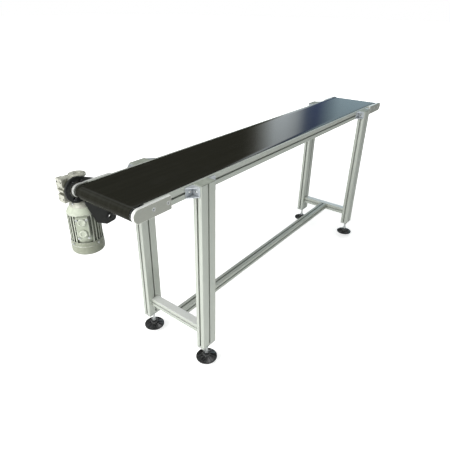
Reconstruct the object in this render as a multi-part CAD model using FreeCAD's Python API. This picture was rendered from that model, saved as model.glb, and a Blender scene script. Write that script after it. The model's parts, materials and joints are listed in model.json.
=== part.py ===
import FreeCAD, Part
import math
import os

# Belt conveyor section on two profile stands, with a worm gear motor hanging at the drive end.
# Millimetres. Origin: middle of the belt's carrying face. +X runs from the drive end to the tail
# end, +Y points to the gear motor side (the far side), +Z is up. The floor is at FLOOR_Z.

V = FreeCAD.Vector

# ---- Driving dimensions -------------------------------------------------------------------------
CONVEYOR_LENGTH = 2100.0   # over the belt, nose to nose
BELT_WIDTH = 280.0
BELT_THICKNESS = 2.0
CARRY_HEIGHT = 850.0       # carrying face above the floor
FRAME_WIDTH = 300.0        # over the two side rails
END_PLATE_HEIGHT = 50.0    # also the depth of the belt loop
DRIVE_OVERHANG = 320.0     # drive nose to the middle of the first pair of legs
LEG_SPACING = 1500.0
LEG_SIZE_X = 80.0
LEG_SIZE_Y = 40.0
LEG_BOTTOM = 80.0          # underside of the base plates above the floor
BAR_SIZE = 40.0            # lower cross members and stretcher
BAR_TOP = 178.0            # their top above the floor

# ---- Derived places -----------------------------------------------------------------------------
FLOOR_Z = -CARRY_HEIGHT
DRIVE_NOSE_X = -CONVEYOR_LENGTH / 2
TAIL_NOSE_X = CONVEYOR_LENGTH / 2
ROLLER_AXIS_Z = -END_PLATE_HEIGHT / 2
BEND_RADIUS = END_PLATE_HEIGHT / 2
ROLLER_RADIUS = BEND_RADIUS - BELT_THICKNESS
DRIVE_AXIS_X = DRIVE_NOSE_X + BEND_RADIUS
TAIL_AXIS_X = TAIL_NOSE_X - BEND_RADIUS
DRIVE_LEG_X = DRIVE_NOSE_X + DRIVE_OVERHANG
TAIL_LEG_X = DRIVE_LEG_X + LEG_SPACING
SIDE_Y = FRAME_WIDTH / 2
LEG_Y = SIDE_Y + LEG_SIZE_Y / 2
LEG_BOTTOM_Z = FLOOR_Z + LEG_BOTTOM
BAR_Z = FLOOR_Z + BAR_TOP - BAR_SIZE / 2

# ---- T-slot profile system ----------------------------------------------------------------------
SLOT_MOUTH = 8.2
SLOT_LIP = 4.5
SLOT_CAVITY = 16.4
SLOT_FLARE_DEPTH = 7.0
SLOT_FLOOR = 9.0
SLOT_DEPTH = 12.3
CORNER_RADIUS = 3.0
CORE_BORE_RADIUS = 4.0

# ---- Side rails, bed and end plates -------------------------------------------------------------
RAIL_TOP_Z = -1.0
RAIL_BOTTOM_Z = -46.0
RAIL_SLOT_Z = (RAIL_TOP_Z + RAIL_BOTTOM_Z) / 2
RAIL_LIP = 8.5             # strip of rail showing beside the belt
RAIL_WEB = 24.0            # full thickness of the rail under the belt
RAIL_END_SETBACK = 62.0    # nose of the belt to the end of the rail
BED_TOP_Z = -2.2
BED_THICKNESS = 2.0
BED_END_GAP_DRIVE = 35.0   # roller axis to the end of the bed
BED_END_GAP_TAIL = 45.0
TIE_XS = (-860.0, -430.0, 0.0, 430.0, 860.0)
TIE_WIDTH = 25.0
TIE_BOTTOM_Z = -40.0
PLATE_THICKNESS = 12.0
DRIVE_PLATE_LENGTH = 163.0
DRIVE_PLATE_SCREWS = (84.0, 148.0)      # from the drive nose
TAIL_PLATE_REACH = 25.0                 # past the belt's tail nose
TAIL_PLATE_LENGTH = 185.0
TAIL_PLATE_SCREWS = (110.0, 170.0)      # from the tip of the plate
PLATE_Y = SIDE_Y + PLATE_THICKNESS

# ---- Fasteners ----------------------------------------------------------------------------------
THREAD_GAP = 0.05          # radial gap between a plain screw shank and its plain hole
M8_CLEARANCE_RADIUS = 4.3
COUNTERBORE_RADIUS = 7.0
COUNTERBORE_DEPTH = 8.5

# ---- Drive roller -------------------------------------------------------------------------------
DRUM_HALF_LENGTH = 142.0
DRUM_WALL = 3.0
DRIVE_SHAFT_RADIUS = 12.5
BEARING_BORE_RADIUS = 10.0
BEARING_RADIUS = 18.5
BEARING_WIDTH = 9.0
RUNNING_GAP = 0.05

# ---- Tail roller and take-up --------------------------------------------------------------------
TAKE_UP_TRAVEL = 12.0
AXLE_RADIUS = 7.5
AXLE_FLAT = 10.0           # height over the two flats that slide in the plates
TENSION_SCREW_RADIUS = 2.5
TENSION_SCREW_LENGTH = 70.0

# ---- Worm gear box ------------------------------------------------------------------------------
MOUNT_PLATE_THICKNESS = 8.0
GEAR_FACE_Y = PLATE_Y + MOUNT_PLATE_THICKNESS
GEAR_WIDTH = 63.0
GEAR_Y = GEAR_FACE_Y + GEAR_WIDTH / 2
CENTRE_DISTANCE = 30.0
WORM_X = DRIVE_AXIS_X + CENTRE_DISTANCE
GEAR_MODULE = 1.4
WHEEL_TEETH = 30
WORM_PITCH_RADIUS = 9.0
HOUSING_HALF_HEIGHT = 44.5   # feet and lower face, from the output axis
WORM_CASE_TOP = 43.0       # upper face around the worm, from the output axis
FOOT_FACE_X = DRIVE_AXIS_X - 44.0
OUTPUT_BORE_RADIUS = 9.0
OUTPUT_SHAFT_RADIUS = 15.0
OUTPUT_BEARING_RADIUS = 23.5
INPUT_FACE_Z = ROLLER_AXIS_Z - 75.0

# ---- Motor (hangs below the gear box, shaft up) -------------------------------------------------
MOTOR_LENGTH = 190.0
MOTOR_FLANGE_RADIUS = 45.0
MOTOR_BORE_RADIUS = 44.0
MOTOR_CORE_RADIUS = 52.0
MOTOR_FIN_RADIUS = 59.5
FIN_COUNT = 28
FIN_THICKNESS = 4.0
SHIELD_DEPTH = 24.0
HOUSING_END = 140.0        # flange face to the end of the finned housing
COWL_RADIUS = 62.0
COWL_WALL = 1.6
MOTOR_SHAFT_RADIUS = 5.5
MOTOR_JOURNAL_RADIUS = 7.5
MOTOR_BEARING_RADIUS = 17.5
MOTOR_BEARING_WIDTH = 11.0
TERMINAL_BOX_HEADING = 230.0

# ---- Levelling feet -----------------------------------------------------------------------------
PAD_RADIUS = 47.5
PAD_RIM_HEIGHT = 6.0
PAD_HUB_HEIGHT = 24.0
SPINDLE_RADIUS = 6.0
BALL_RADIUS = 8.0
BALL_HEIGHT = 13.0         # centre of the ball above the floor
SPINDLE_TOP = 125.0        # above the floor
BASE_PLATE_THICKNESS = 12.0
TOP_CAP_THICKNESS = 3.0


# ---- Basic shapes -------------------------------------------------------------------------------
def box(x0, x1, y0, y1, z0, z1):
    return Part.makeBox(x1 - x0, y1 - y0, z1 - z0, V(x0, y0, z0))


def cyl_x(radius, x0, x1, y, z):
    return Part.makeCylinder(radius, x1 - x0, V(x0, y, z), V(1, 0, 0))


def cyl_y(radius, y0, y1, x, z):
    return Part.makeCylinder(radius, y1 - y0, V(x, y0, z), V(0, 1, 0))


def cyl_z(radius, z0, z1, x, y):
    return Part.makeCylinder(radius, z1 - z0, V(x, y, z0), V(0, 0, 1))


def cone_z(radius0, radius1, z0, z1, x, y):
    return Part.makeCone(radius0, radius1, z1 - z0, V(x, y, z0), V(0, 0, 1))


def joined(shapes):
    first, rest = shapes[0], shapes[1:]
    return first.fuse(rest).removeSplitter() if rest else first


def cut_all(shape, tools):
    return shape.cut(Part.makeCompound(tools))


def moved(shape, x=0.0, y=0.0, z=0.0):
    copy = shape.copy()
    copy.translate(V(x, y, z))
    return copy


def far_side(shape):
    """The same piece on the +Y side."""
    return shape.mirror(V(0, 0, 0), V(0, 1, 0))


def aimed(shape, point, direction):
    """A shape built along +Z at the origin, turned to direction and moved to point."""
    copy = shape.copy()
    turn = FreeCAD.Rotation(V(0, 0, 1), V(*direction))
    copy.Placement = FreeCAD.Placement(V(*point), turn)
    return copy


def prism(points, vector):
    wire = Part.makePolygon([V(*p) for p in points] + [V(*points[0])])
    return Part.Face(wire).extrude(V(*vector))


def revolved(points):
    """A solid of revolution about Z from (radius, height) points."""
    wire = Part.makePolygon([V(r, 0, z) for r, z in points] + [V(points[0][0], 0, points[0][1])])
    return Part.Face(wire).revolve(V(0, 0, 0), V(0, 0, 1), 360)


def rounded_block(size_x, size_y, z0, z1, radius, x=0.0, y=0.0):
    """An upright block with its four vertical edges rounded."""
    block = box(x - size_x / 2, x + size_x / 2, y - size_y / 2, y + size_y / 2, z0, z1)
    edges = [e for e in block.Edges if abs(e.tangentAt(e.FirstParameter).z) > 0.99]
    return block.makeFillet(radius, edges)


def hull_of_circles(circles, y0, y1):
    """A flat plate in XZ: the convex outline around circles (x, z, radius), anticlockwise."""
    edges = []
    joints = []
    count = len(circles)
    for i in range(count):
        xa, za, ra = circles[i]
        xb, zb, rb = circles[(i + 1) % count]
        span = math.hypot(xb - xa, zb - za)
        normal = math.atan2(zb - za, xb - xa) - math.acos((ra - rb) / span)
        start = V(xa + ra * math.cos(normal), y0, za + ra * math.sin(normal))
        end = V(xb + rb * math.cos(normal), y0, zb + rb * math.sin(normal))
        joints.append((start, end, normal))
    for i in range(count):
        x, z, radius = circles[i]
        arrive, leave = joints[i - 1][2], joints[i][2]
        middle = (arrive + leave + (2 * math.pi if leave < arrive else 0.0)) / 2
        crown = V(x + radius * math.cos(middle), y0, z + radius * math.sin(middle))
        edges.append(Part.Arc(joints[i - 1][1], crown, joints[i][0]).toShape())
        edges.append(Part.makeLine(joints[i][0], joints[i][1]))
    return Part.Face(Part.Wire(edges)).extrude(V(0, y1 - y0, 0))


def write_node(name, *solids):
    shape = solids[0] if len(solids) == 1 else Part.makeCompound(list(solids))
    shape.exportStep("parts/" + name + ".step")


# ---- Fastener shapes, each with its head's underside at z = 0 and its shank along -Z -------------
def hexagon(across_flats, z0, z1):
    corner = across_flats / math.sqrt(3)
    points = [(corner * math.cos(math.radians(60 * i)), corner * math.sin(math.radians(60 * i)), z0)
              for i in range(6)]
    return prism(points, (0, 0, z1 - z0))


def shank(radius, length):
    tip = 0.8
    body = cyl_z(radius, -length + tip, 0, 0, 0)
    return body.fuse(cone_z(radius - tip, radius, -length, -length + tip, 0, 0))


def cap_screw(nominal, length):
    head_radius = nominal * 0.8
    chamfer = nominal * 0.08
    head = cyl_z(head_radius, 0, nominal - chamfer, 0, 0)
    head = head.fuse(cone_z(head_radius, head_radius - chamfer, nominal - chamfer, nominal, 0, 0))
    socket = hexagon(nominal * 0.75, nominal * 0.5, nominal + 1)
    return joined([head.cut(socket), shank(nominal / 2 - THREAD_GAP, length)])


def button_screw(nominal, length):
    head_radius = nominal * 0.875
    head_height = nominal * 0.55
    dome = (head_radius ** 2 + head_height ** 2) / (2 * head_height)
    head = Part.makeSphere(dome, V(0, 0, head_height - dome))
    head = head.common(cyl_z(head_radius, 0, head_height, 0, 0))
    socket = hexagon(nominal * 0.62, head_height * 0.4, head_height + 1)
    return joined([head.cut(socket), shank(nominal / 2 - THREAD_GAP, length)])


def slot_nut(length=16.0):
    """A T-nut whose mouth plane (the profile's face) is z = 0; it lies along X, inside -Z."""
    outline = [(3.9, -1.0), (3.9, -4.6), (7.8, -4.6), (7.8, -6.8), (6.2, -8.8),
               (-6.2, -8.8), (-7.8, -6.8), (-7.8, -4.6), (-3.9, -4.6), (-3.9, -1.0)]
    nut = prism([(-length / 2, y, z) for y, z in outline], (length, 0, 0))
    return nut.cut(cyl_z(4.0, -10, 0, 0, 0))


# ---- T-slot profiles ----------------------------------------------------------------------------
def slot_outline():
    """Half widths and depths of one T-slot, as (across, depth) points."""
    mouth, cavity = SLOT_MOUTH / 2, SLOT_CAVITY / 2
    half = [(mouth, -1.0), (mouth, SLOT_LIP), (cavity, SLOT_LIP), (cavity, SLOT_FLARE_DEPTH),
            (SLOT_FLOOR / 2, SLOT_DEPTH)]
    return half + [(-across, depth) for across, depth in reversed(half)]


def slot_tool(face_distance, heading, length):
    """The space of one T-slot running along Z, opening at a face in the given heading (degrees)."""
    points = [(face_distance - depth, across, 0) for across, depth in slot_outline()]
    tool = prism(points, (0, 0, length))
    tool.rotate(V(0, 0, 0), V(0, 0, 1), heading)
    return tool


def leg_profile(length):
    half_x, half_y = LEG_SIZE_X / 2, LEG_SIZE_Y / 2
    bar = rounded_block(LEG_SIZE_X, LEG_SIZE_Y, 0, length, CORNER_RADIUS)
    tools = [slot_tool(half_x, 0, length), slot_tool(half_x, 180, length),
             slot_tool(half_y, 90, length), slot_tool(half_y, 270, length)]
    for side_x in (-1, 1):
        tools.append(rounded_block(9, 35, 0, length, 1.5, side_x * 15))
        for side_y in (-1, 1):
            tools.append(rounded_block(8, 7, 0, length, 1.5, side_x * 33.5, side_y * 14))
            tools.append(cyl_z(CORE_BORE_RADIUS, 0, length, side_x * 23.6, side_y * 13))
    return cut_all(bar, tools)


def bar_profile(length, slot_headings):
    half = BAR_SIZE / 2
    bar = rounded_block(BAR_SIZE, BAR_SIZE, 0, length, CORNER_RADIUS)
    tools = [slot_tool(half, heading, length) for heading in slot_headings]
    tools.append(cyl_z(CORE_BORE_RADIUS, 0, length, 0, 0))
    for side_x in (-1, 1):
        for side_y in (-1, 1):
            tools.append(rounded_block(7, 7, 0, length, 1.5, side_x * 14, side_y * 14))
    return cut_all(bar, tools)


# ---- Stand: legs, cross members, stretcher ------------------------------------------------------
LEG_PLACES = {
    "drive_near": (DRIVE_LEG_X, -LEG_Y),
    "drive_far": (DRIVE_LEG_X, LEG_Y),
    "tail_near": (TAIL_LEG_X, -LEG_Y),
    "tail_far": (TAIL_LEG_X, LEG_Y),
}


def leg():
    """One upright at the origin, from the top of its base plate to the underside of its cap."""
    bottom = LEG_BOTTOM_Z + BASE_PLATE_THICKNESS
    top = RAIL_TOP_Z - TOP_CAP_THICKNESS
    upright = moved(leg_profile(top - bottom), z=bottom)
    spindle_room = cyl_z(SPINDLE_RADIUS + 1, bottom, FLOOR_Z + SPINDLE_TOP + 45, 0, 0)
    key_access = cyl_y(3.5, -LEG_SIZE_Y / 2, LEG_SIZE_Y / 2, 0, BAR_Z)
    return cut_all(upright, [spindle_room, key_access])


def base_plate():
    z0, z1 = LEG_BOTTOM_Z, LEG_BOTTOM_Z + BASE_PLATE_THICKNESS
    plate = rounded_block(LEG_SIZE_X, LEG_SIZE_Y, z0, z1, CORNER_RADIUS)
    tools = [cyl_z(SPINDLE_RADIUS + THREAD_GAP, z0, z1, 0, 0)]
    for side in (-1, 1):
        tools.append(cyl_z(M8_CLEARANCE_RADIUS, z0, z1, side * 23.6, side * 13))
        tools.append(cyl_z(6.6, z0, z0 + 8.2, side * 23.6, side * 13))
    return cut_all(plate, tools)


def top_cap():
    z0 = RAIL_TOP_Z - TOP_CAP_THICKNESS
    cap = rounded_block(LEG_SIZE_X, LEG_SIZE_Y, z0, RAIL_TOP_Z, CORNER_RADIUS)
    top_edges = [e for e in cap.Edges if all(abs(v.Z - RAIL_TOP_Z) < 1e-6 for v in e.Vertexes)]
    return cap.makeFillet(1.0, top_edges)


def cross_member(x):
    """A bar along Y with a closed top face."""
    bar = bar_profile(FRAME_WIDTH, (0, 180, 90))
    bar.rotate(V(0, 0, 0), V(1, 0, 0), -90)
    bar.translate(V(x, -SIDE_Y, BAR_Z))
    key_access = cyl_x(3.5, x - BAR_SIZE / 2, x + BAR_SIZE / 2, 0, BAR_Z)
    return bar.cut(key_access)


def stretcher():
    """The long bar along X between the two cross members."""
    length = LEG_SPACING - BAR_SIZE
    bar = bar_profile(length, (0, 90, 180, 270))
    bar.rotate(V(0, 0, 0), V(0, 1, 0), 90)
    bar.translate(V(DRIVE_LEG_X + BAR_SIZE / 2, 0, BAR_Z))
    return bar


def slot_bolts():
    """Button-head bolts with their heads inside T-slots: stand joints and bed ties."""
    bolt = button_screw(8, 30)
    bolts = []
    for x in (DRIVE_LEG_X, TAIL_LEG_X):
        for side in (-1, 1):
            bolts.append(aimed(bolt, (x, side * (SIDE_Y + SLOT_LIP), BAR_Z), (0, side, 0)))
    for x, side in ((DRIVE_LEG_X, -1), (TAIL_LEG_X, 1)):
        head_x = x - side * (BAR_SIZE / 2 - SLOT_LIP)
        bolts.append(aimed(bolt, (head_x, 0, BAR_Z), (side, 0, 0)))
    for x in TIE_XS:
        for side in (-1, 1):
            bolts.append(aimed(bolt, (x, side * (SIDE_Y - SLOT_DEPTH), RAIL_SLOT_Z), (0, side, 0)))
    return bolts


# ---- Gusset brackets between rails and legs -----------------------------------------------------
GUSSET_ALONG = 40.0
GUSSET_OUT = 36.0
GUSSET_HEIGHT = 40.0
GUSSET_WALL = 4.0
GUSSET_TOP_Z = RAIL_SLOT_Z + GUSSET_HEIGHT / 2
GUSSET_BOTTOM_Z = RAIL_SLOT_Z - GUSSET_HEIGHT / 2
RAIL_SCREW_OUT = 18.0      # corner of the gusset to its screw in the rail


def gusset():
    """Corner at the origin: one flange against the rail (+X), one against the leg (-Y)."""
    web = [(0, 0), (GUSSET_ALONG, 0), (GUSSET_ALONG, -GUSSET_WALL),
           (GUSSET_WALL, -GUSSET_OUT), (0, -GUSSET_OUT)]
    top = prism([(x, y, GUSSET_TOP_Z - GUSSET_WALL) for x, y in web], (0, 0, GUSSET_WALL))
    bottom = prism([(x, y, GUSSET_BOTTOM_Z) for x, y in web], (0, 0, GUSSET_WALL))
    rail_flange = box(0, GUSSET_ALONG, -GUSSET_WALL, 0, GUSSET_BOTTOM_Z, GUSSET_TOP_Z)
    leg_flange = box(0, GUSSET_WALL, -GUSSET_OUT, 0, GUSSET_BOTTOM_Z, GUSSET_TOP_Z)
    bracket = joined([top, bottom, rail_flange, leg_flange])
    holes = [cyl_y(M8_CLEARANCE_RADIUS, -GUSSET_WALL, 0, RAIL_SCREW_OUT, RAIL_SLOT_Z),
             cyl_x(M8_CLEARANCE_RADIUS, 0, GUSSET_WALL, -LEG_SIZE_Y / 2, RAIL_SLOT_Z)]
    return cut_all(bracket, holes)


def gusset_sets():
    """All brackets, their screws and the slot nuts behind them."""
    brackets, screws, nuts = [], [], []
    shape, screw, nut = gusset(), button_screw(8, 15), slot_nut()
    upright_nut = nut.copy()
    upright_nut.rotate(V(0, 0, 0), V(0, 0, 1), 90)
    rail_parts = [aimed(screw, (RAIL_SCREW_OUT, -GUSSET_WALL, RAIL_SLOT_Z), (0, -1, 0)),
                  aimed(screw, (GUSSET_WALL, -LEG_SIZE_Y / 2, RAIL_SLOT_Z), (1, 0, 0))]
    rail_nut = nut.copy()
    rail_nut.rotate(V(0, 0, 0), V(1, 0, 0), 90)
    rail_nut.translate(V(RAIL_SCREW_OUT, 0, RAIL_SLOT_Z))
    leg_nut = nut.copy()
    leg_nut.rotate(V(0, 0, 0), V(0, 1, 0), 90)
    leg_nut.translate(V(0, -LEG_SIZE_Y / 2, RAIL_SLOT_Z))
    for leg_x in (DRIVE_LEG_X, TAIL_LEG_X):
        for direction in (-1, 1):
            for side in (-1, 1):
                def put(piece):
                    out = piece
                    if direction < 0:
                        out = out.mirror(V(0, 0, 0), V(1, 0, 0))
                    out = moved(out, leg_x + direction * LEG_SIZE_X / 2, -SIDE_Y)
                    return far_side(out) if side > 0 else out
                brackets.append(put(shape))
                screws += [put(piece) for piece in rail_parts]
                nuts += [put(rail_nut), put(leg_nut)]
    return brackets, screws, nuts


# ---- Side rails, slider bed, ties and belt ------------------------------------------------------
RAIL_START_X = DRIVE_NOSE_X + RAIL_END_SETBACK
RAIL_END_X = TAIL_NOSE_X - RAIL_END_SETBACK
LEDGE_Y = SIDE_Y - RAIL_WEB
LEDGE_Z = BED_TOP_Z - BED_THICKNESS


def near_side_rail():
    lip_y = SIDE_Y - RAIL_LIP
    section = [(-SIDE_Y, RAIL_TOP_Z), (-lip_y, RAIL_TOP_Z), (-lip_y, LEDGE_Z), (-LEDGE_Y, LEDGE_Z),
               (-LEDGE_Y, RAIL_BOTTOM_Z), (-SIDE_Y, RAIL_BOTTOM_Z)]
    length = RAIL_END_X - RAIL_START_X
    rail = prism([(RAIL_START_X, y, z) for y, z in section], (length, 0, 0))
    slot = [(RAIL_START_X, -SIDE_Y + depth, RAIL_SLOT_Z + across) for across, depth in slot_outline()]
    tools = [prism(slot, (length, 0, 0))]
    for x in TIE_XS:
        tools.append(cyl_y(7.2, -SIDE_Y + SLOT_LIP, -SIDE_Y + SLOT_DEPTH, x, RAIL_SLOT_Z))
        tools.append(cyl_y(M8_CLEARANCE_RADIUS, -SIDE_Y, -LEDGE_Y, x, RAIL_SLOT_Z))
    return cut_all(rail, tools)


def slider_bed():
    x0 = DRIVE_AXIS_X + BED_END_GAP_DRIVE
    x1 = TAIL_AXIS_X - BED_END_GAP_TAIL
    half_width = SIDE_Y - RAIL_LIP - 0.5
    sheet = box(x0, x1, -half_width, half_width, LEDGE_Z, BED_TOP_Z)
    lip_half = LEDGE_Y - 1
    lips = [box(x0, x0 + BED_THICKNESS, -lip_half, lip_half, LEDGE_Z - 8, BED_TOP_Z),
            box(x1 - BED_THICKNESS, x1, -lip_half, lip_half, LEDGE_Z - 8, BED_TOP_Z)]
    return joined([sheet] + lips)


def cross_ties():
    ties = []
    for x in TIE_XS:
        tie = box(x - TIE_WIDTH / 2, x + TIE_WIDTH / 2, -LEDGE_Y, LEDGE_Y, TIE_BOTTOM_Z, LEDGE_Z)
        bore = cyl_y(4.0, -LEDGE_Y, LEDGE_Y, x, RAIL_SLOT_Z)
        hollow = box(x - TIE_WIDTH / 2 + 3, x + TIE_WIDTH / 2 - 3, -LEDGE_Y + 25, LEDGE_Y - 25,
                     TIE_BOTTOM_Z - 1, LEDGE_Z - 3)
        ties.append(cut_all(tie, [bore, hollow]))
    return ties


def loop_plate(radius, y0, y1):
    """A flat oval block around both roller axes."""
    block = box(DRIVE_AXIS_X, TAIL_AXIS_X, y0, y1, ROLLER_AXIS_Z - radius, ROLLER_AXIS_Z + radius)
    ends = [cyl_y(radius, y0, y1, x, ROLLER_AXIS_Z) for x in (DRIVE_AXIS_X, TAIL_AXIS_X)]
    return joined([block] + ends)


def belt():
    half = BELT_WIDTH / 2
    inside = loop_plate(ROLLER_RADIUS + RUNNING_GAP, -half - 1, half + 1)
    return loop_plate(BEND_RADIUS, -half, half).cut(inside)


# ---- End plates ---------------------------------------------------------------------------------
def end_plate_blank(tip_x, length, direction):
    """A near-side plate with a round nose; direction is +1 when the nose points to +X."""
    nose_x = tip_x - direction * BEND_RADIUS
    square_x = tip_x - direction * length
    blank = box(min(nose_x, square_x), max(nose_x, square_x), -PLATE_Y, -SIDE_Y, -END_PLATE_HEIGHT, 0)
    plate = joined([blank, cyl_y(BEND_RADIUS, -PLATE_Y, -SIDE_Y, nose_x, ROLLER_AXIS_Z)])
    outer = [e for e in plate.Edges if all(abs(v.Y + PLATE_Y) < 1e-6 for v in e.Vertexes)]
    return plate.makeChamfer(0.8, outer)


def screw_holes(xs):
    tools = []
    for x in xs:
        tools.append(cyl_y(M8_CLEARANCE_RADIUS, -PLATE_Y, -SIDE_Y, x, RAIL_SLOT_Z))
        tools.append(cyl_y(COUNTERBORE_RADIUS, -PLATE_Y, -PLATE_Y + COUNTERBORE_DEPTH, x, RAIL_SLOT_Z))
    return tools


DRIVE_SCREW_XS = [DRIVE_NOSE_X + d for d in DRIVE_PLATE_SCREWS]
TAIL_TIP_X = TAIL_NOSE_X + TAIL_PLATE_REACH
TAIL_SCREW_XS = [TAIL_TIP_X - d for d in TAIL_PLATE_SCREWS]
MOUNT_SCREWS = [(DRIVE_AXIS_X + dx, ROLLER_AXIS_Z + dz) for dx, dz in ((82, 13), (82, -16), (110, -14))]


def drive_end_plate(shaft_passes):
    plate = end_plate_blank(DRIVE_NOSE_X, DRIVE_PLATE_LENGTH, -1)
    pocket_y = -SIDE_Y - BEARING_WIDTH
    tools = screw_holes(DRIVE_SCREW_XS)
    tools.append(cyl_y(BEARING_RADIUS, pocket_y, -SIDE_Y, DRIVE_AXIS_X, ROLLER_AXIS_Z))
    if shaft_passes:
        tools.append(cyl_y(BEARING_BORE_RADIUS + 1.5, -PLATE_Y, -SIDE_Y, DRIVE_AXIS_X, ROLLER_AXIS_Z))
        for x, z in MOUNT_SCREWS:
            tools.append(cyl_y(3.0, -PLATE_Y, -SIDE_Y, x, z))
    return cut_all(plate, tools)


def tail_end_plate():
    plate = end_plate_blank(TAIL_TIP_X, TAIL_PLATE_LENGTH, 1)
    half = AXLE_FLAT / 2 + RUNNING_GAP
    x0 = TAIL_AXIS_X - TAKE_UP_TRAVEL - AXLE_RADIUS - 1
    x1 = TAIL_AXIS_X + AXLE_RADIUS + 1
    tools = screw_holes(TAIL_SCREW_XS)
    tools.append(box(x0, x1, -PLATE_Y, -SIDE_Y, ROLLER_AXIS_Z - half, ROLLER_AXIS_Z + half))
    screw_y = -SIDE_Y - PLATE_THICKNESS / 2
    tools.append(cyl_x(TENSION_SCREW_RADIUS, x1 - 1, TAIL_TIP_X, screw_y, ROLLER_AXIS_Z))
    return cut_all(plate, tools)


def end_plate_screws():
    """Cap screws through the end plates, with the slot nuts they pull on."""
    screw = cap_screw(8, 15)
    nut = slot_nut()
    nut.rotate(V(0, 0, 0), V(1, 0, 0), 90)
    screws, nuts = [], []
    for x in DRIVE_SCREW_XS + TAIL_SCREW_XS:
        near_screw = aimed(screw, (x, -PLATE_Y + COUNTERBORE_DEPTH, RAIL_SLOT_Z), (0, -1, 0))
        near_nut = moved(nut, x, -SIDE_Y, RAIL_SLOT_Z)
        screws += [near_screw, far_side(near_screw)]
        nuts += [near_nut, far_side(near_nut)]
    return screws, nuts


def base_plate_screws():
    screw = cap_screw(8, 15)
    screws = []
    for x, y in LEG_PLACES.values():
        for side in (-1, 1):
            seat = (x + side * 23.6, y + side * 13, LEG_BOTTOM_Z + 8.1)
            screws.append(aimed(screw, seat, (0, 0, -1)))
    return screws


# ---- Drive roller -------------------------------------------------------------------------------
def drive_drum():
    crown = 0.3
    half = DRUM_HALF_LENGTH
    outline = [(ROLLER_RADIUS - crown, -half), (ROLLER_RADIUS - RUNNING_GAP, -half + 60),
               (ROLLER_RADIUS - RUNNING_GAP, half - 60), (ROLLER_RADIUS - crown, half),
               (DRIVE_SHAFT_RADIUS, half), (DRIVE_SHAFT_RADIUS, half - 12),
               (ROLLER_RADIUS - DRUM_WALL, half - 12), (ROLLER_RADIUS - DRUM_WALL, -half + 12),
               (DRIVE_SHAFT_RADIUS, -half + 12), (DRIVE_SHAFT_RADIUS, -half)]
    return aimed(revolved(outline), (DRIVE_AXIS_X, 0, ROLLER_AXIS_Z), (0, 1, 0))


def drive_shaft():
    x, z = DRIVE_AXIS_X, ROLLER_AXIS_Z
    gap = RUNNING_GAP
    thick = cyl_y(DRIVE_SHAFT_RADIUS, -SIDE_Y + 1, SIDE_Y - 1, x, z)
    journals = cyl_y(BEARING_BORE_RADIUS - gap, -SIDE_Y - BEARING_WIDTH + 1, SIDE_Y + 14, x, z)
    output = cyl_y(OUTPUT_BORE_RADIUS - gap, SIDE_Y + 14, GEAR_FACE_Y + GEAR_WIDTH - 2, x, z)
    keyway = box(x - 3, x + 3, GEAR_Y - 22, GEAR_Y + 22, z + 5.5, z + 12)
    return joined([thick, journals, output]).cut(keyway)


def bearing(bore, radius, width, groove=0.6):
    """A closed deep-groove bearing along Z: rings, with the seal faces set back."""
    ring = cyl_z(radius, 0, width, 0, 0).cut(cyl_z(bore, 0, width, 0, 0))
    inner, outer = bore + (radius - bore) * 0.28, radius - (radius - bore) * 0.25
    seal = cyl_z(outer, -1, groove, 0, 0).cut(cyl_z(inner, -1, groove, 0, 0))
    return cut_all(ring, [seal, moved(seal, z=width + 1 - groove)])


def drive_bearings():
    unit = bearing(BEARING_BORE_RADIUS, BEARING_RADIUS, BEARING_WIDTH)
    near = aimed(unit, (DRIVE_AXIS_X, -SIDE_Y, ROLLER_AXIS_Z), (0, -1, 0))
    return [near, far_side(near)]


# ---- Tail roller and take-up --------------------------------------------------------------------
TAIL_BEARING_RADIUS = 17.5


def tail_axle():
    x, z = TAIL_AXIS_X, ROLLER_AXIS_Z
    bar = cyl_y(AXLE_RADIUS, -PLATE_Y + 1, PLATE_Y - 1, x, z)
    tools = []
    for side in (-1, 1):
        y0, y1 = sorted((side * (SIDE_Y - 2), side * PLATE_Y))
        for z0, z1 in ((z + AXLE_FLAT / 2, z + 20), (z - 20, z - AXLE_FLAT / 2)):
            tools.append(box(x - 20, x + 20, y0, y1, z0, z1))
        screw_y = side * (SIDE_Y + PLATE_THICKNESS / 2)
        tools.append(cyl_x(TENSION_SCREW_RADIUS, x - 20, x + 20, screw_y, z))
    return cut_all(bar, tools)


def tail_drum():
    half = DRUM_HALF_LENGTH
    outer, inner = ROLLER_RADIUS - RUNNING_GAP, ROLLER_RADIUS - DRUM_WALL
    shoulder = TAIL_BEARING_RADIUS - 2
    outline = [(outer, -half), (outer, half), (TAIL_BEARING_RADIUS, half),
               (TAIL_BEARING_RADIUS, half - 13), (shoulder, half - 13), (shoulder, half - 16),
               (inner, half - 16), (inner, -half + 16), (shoulder, -half + 16),
               (shoulder, -half + 13), (TAIL_BEARING_RADIUS, -half + 13), (TAIL_BEARING_RADIUS, -half)]
    return aimed(revolved(outline), (TAIL_AXIS_X, 0, ROLLER_AXIS_Z), (0, 1, 0))


def tail_bearings():
    unit = bearing(AXLE_RADIUS + RUNNING_GAP, TAIL_BEARING_RADIUS, 11.0)
    near = aimed(unit, (TAIL_AXIS_X, -DRUM_HALF_LENGTH + 1.5, ROLLER_AXIS_Z), (0, 1, 0))
    return [near, far_side(near)]


def tension_screws():
    screw = cap_screw(2 * TENSION_SCREW_RADIUS, TENSION_SCREW_LENGTH)
    screw_y = -SIDE_Y - PLATE_THICKNESS / 2
    near = aimed(screw, (TAIL_TIP_X, screw_y, ROLLER_AXIS_Z), (1, 0, 0))
    return [near, far_side(near)]


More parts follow.
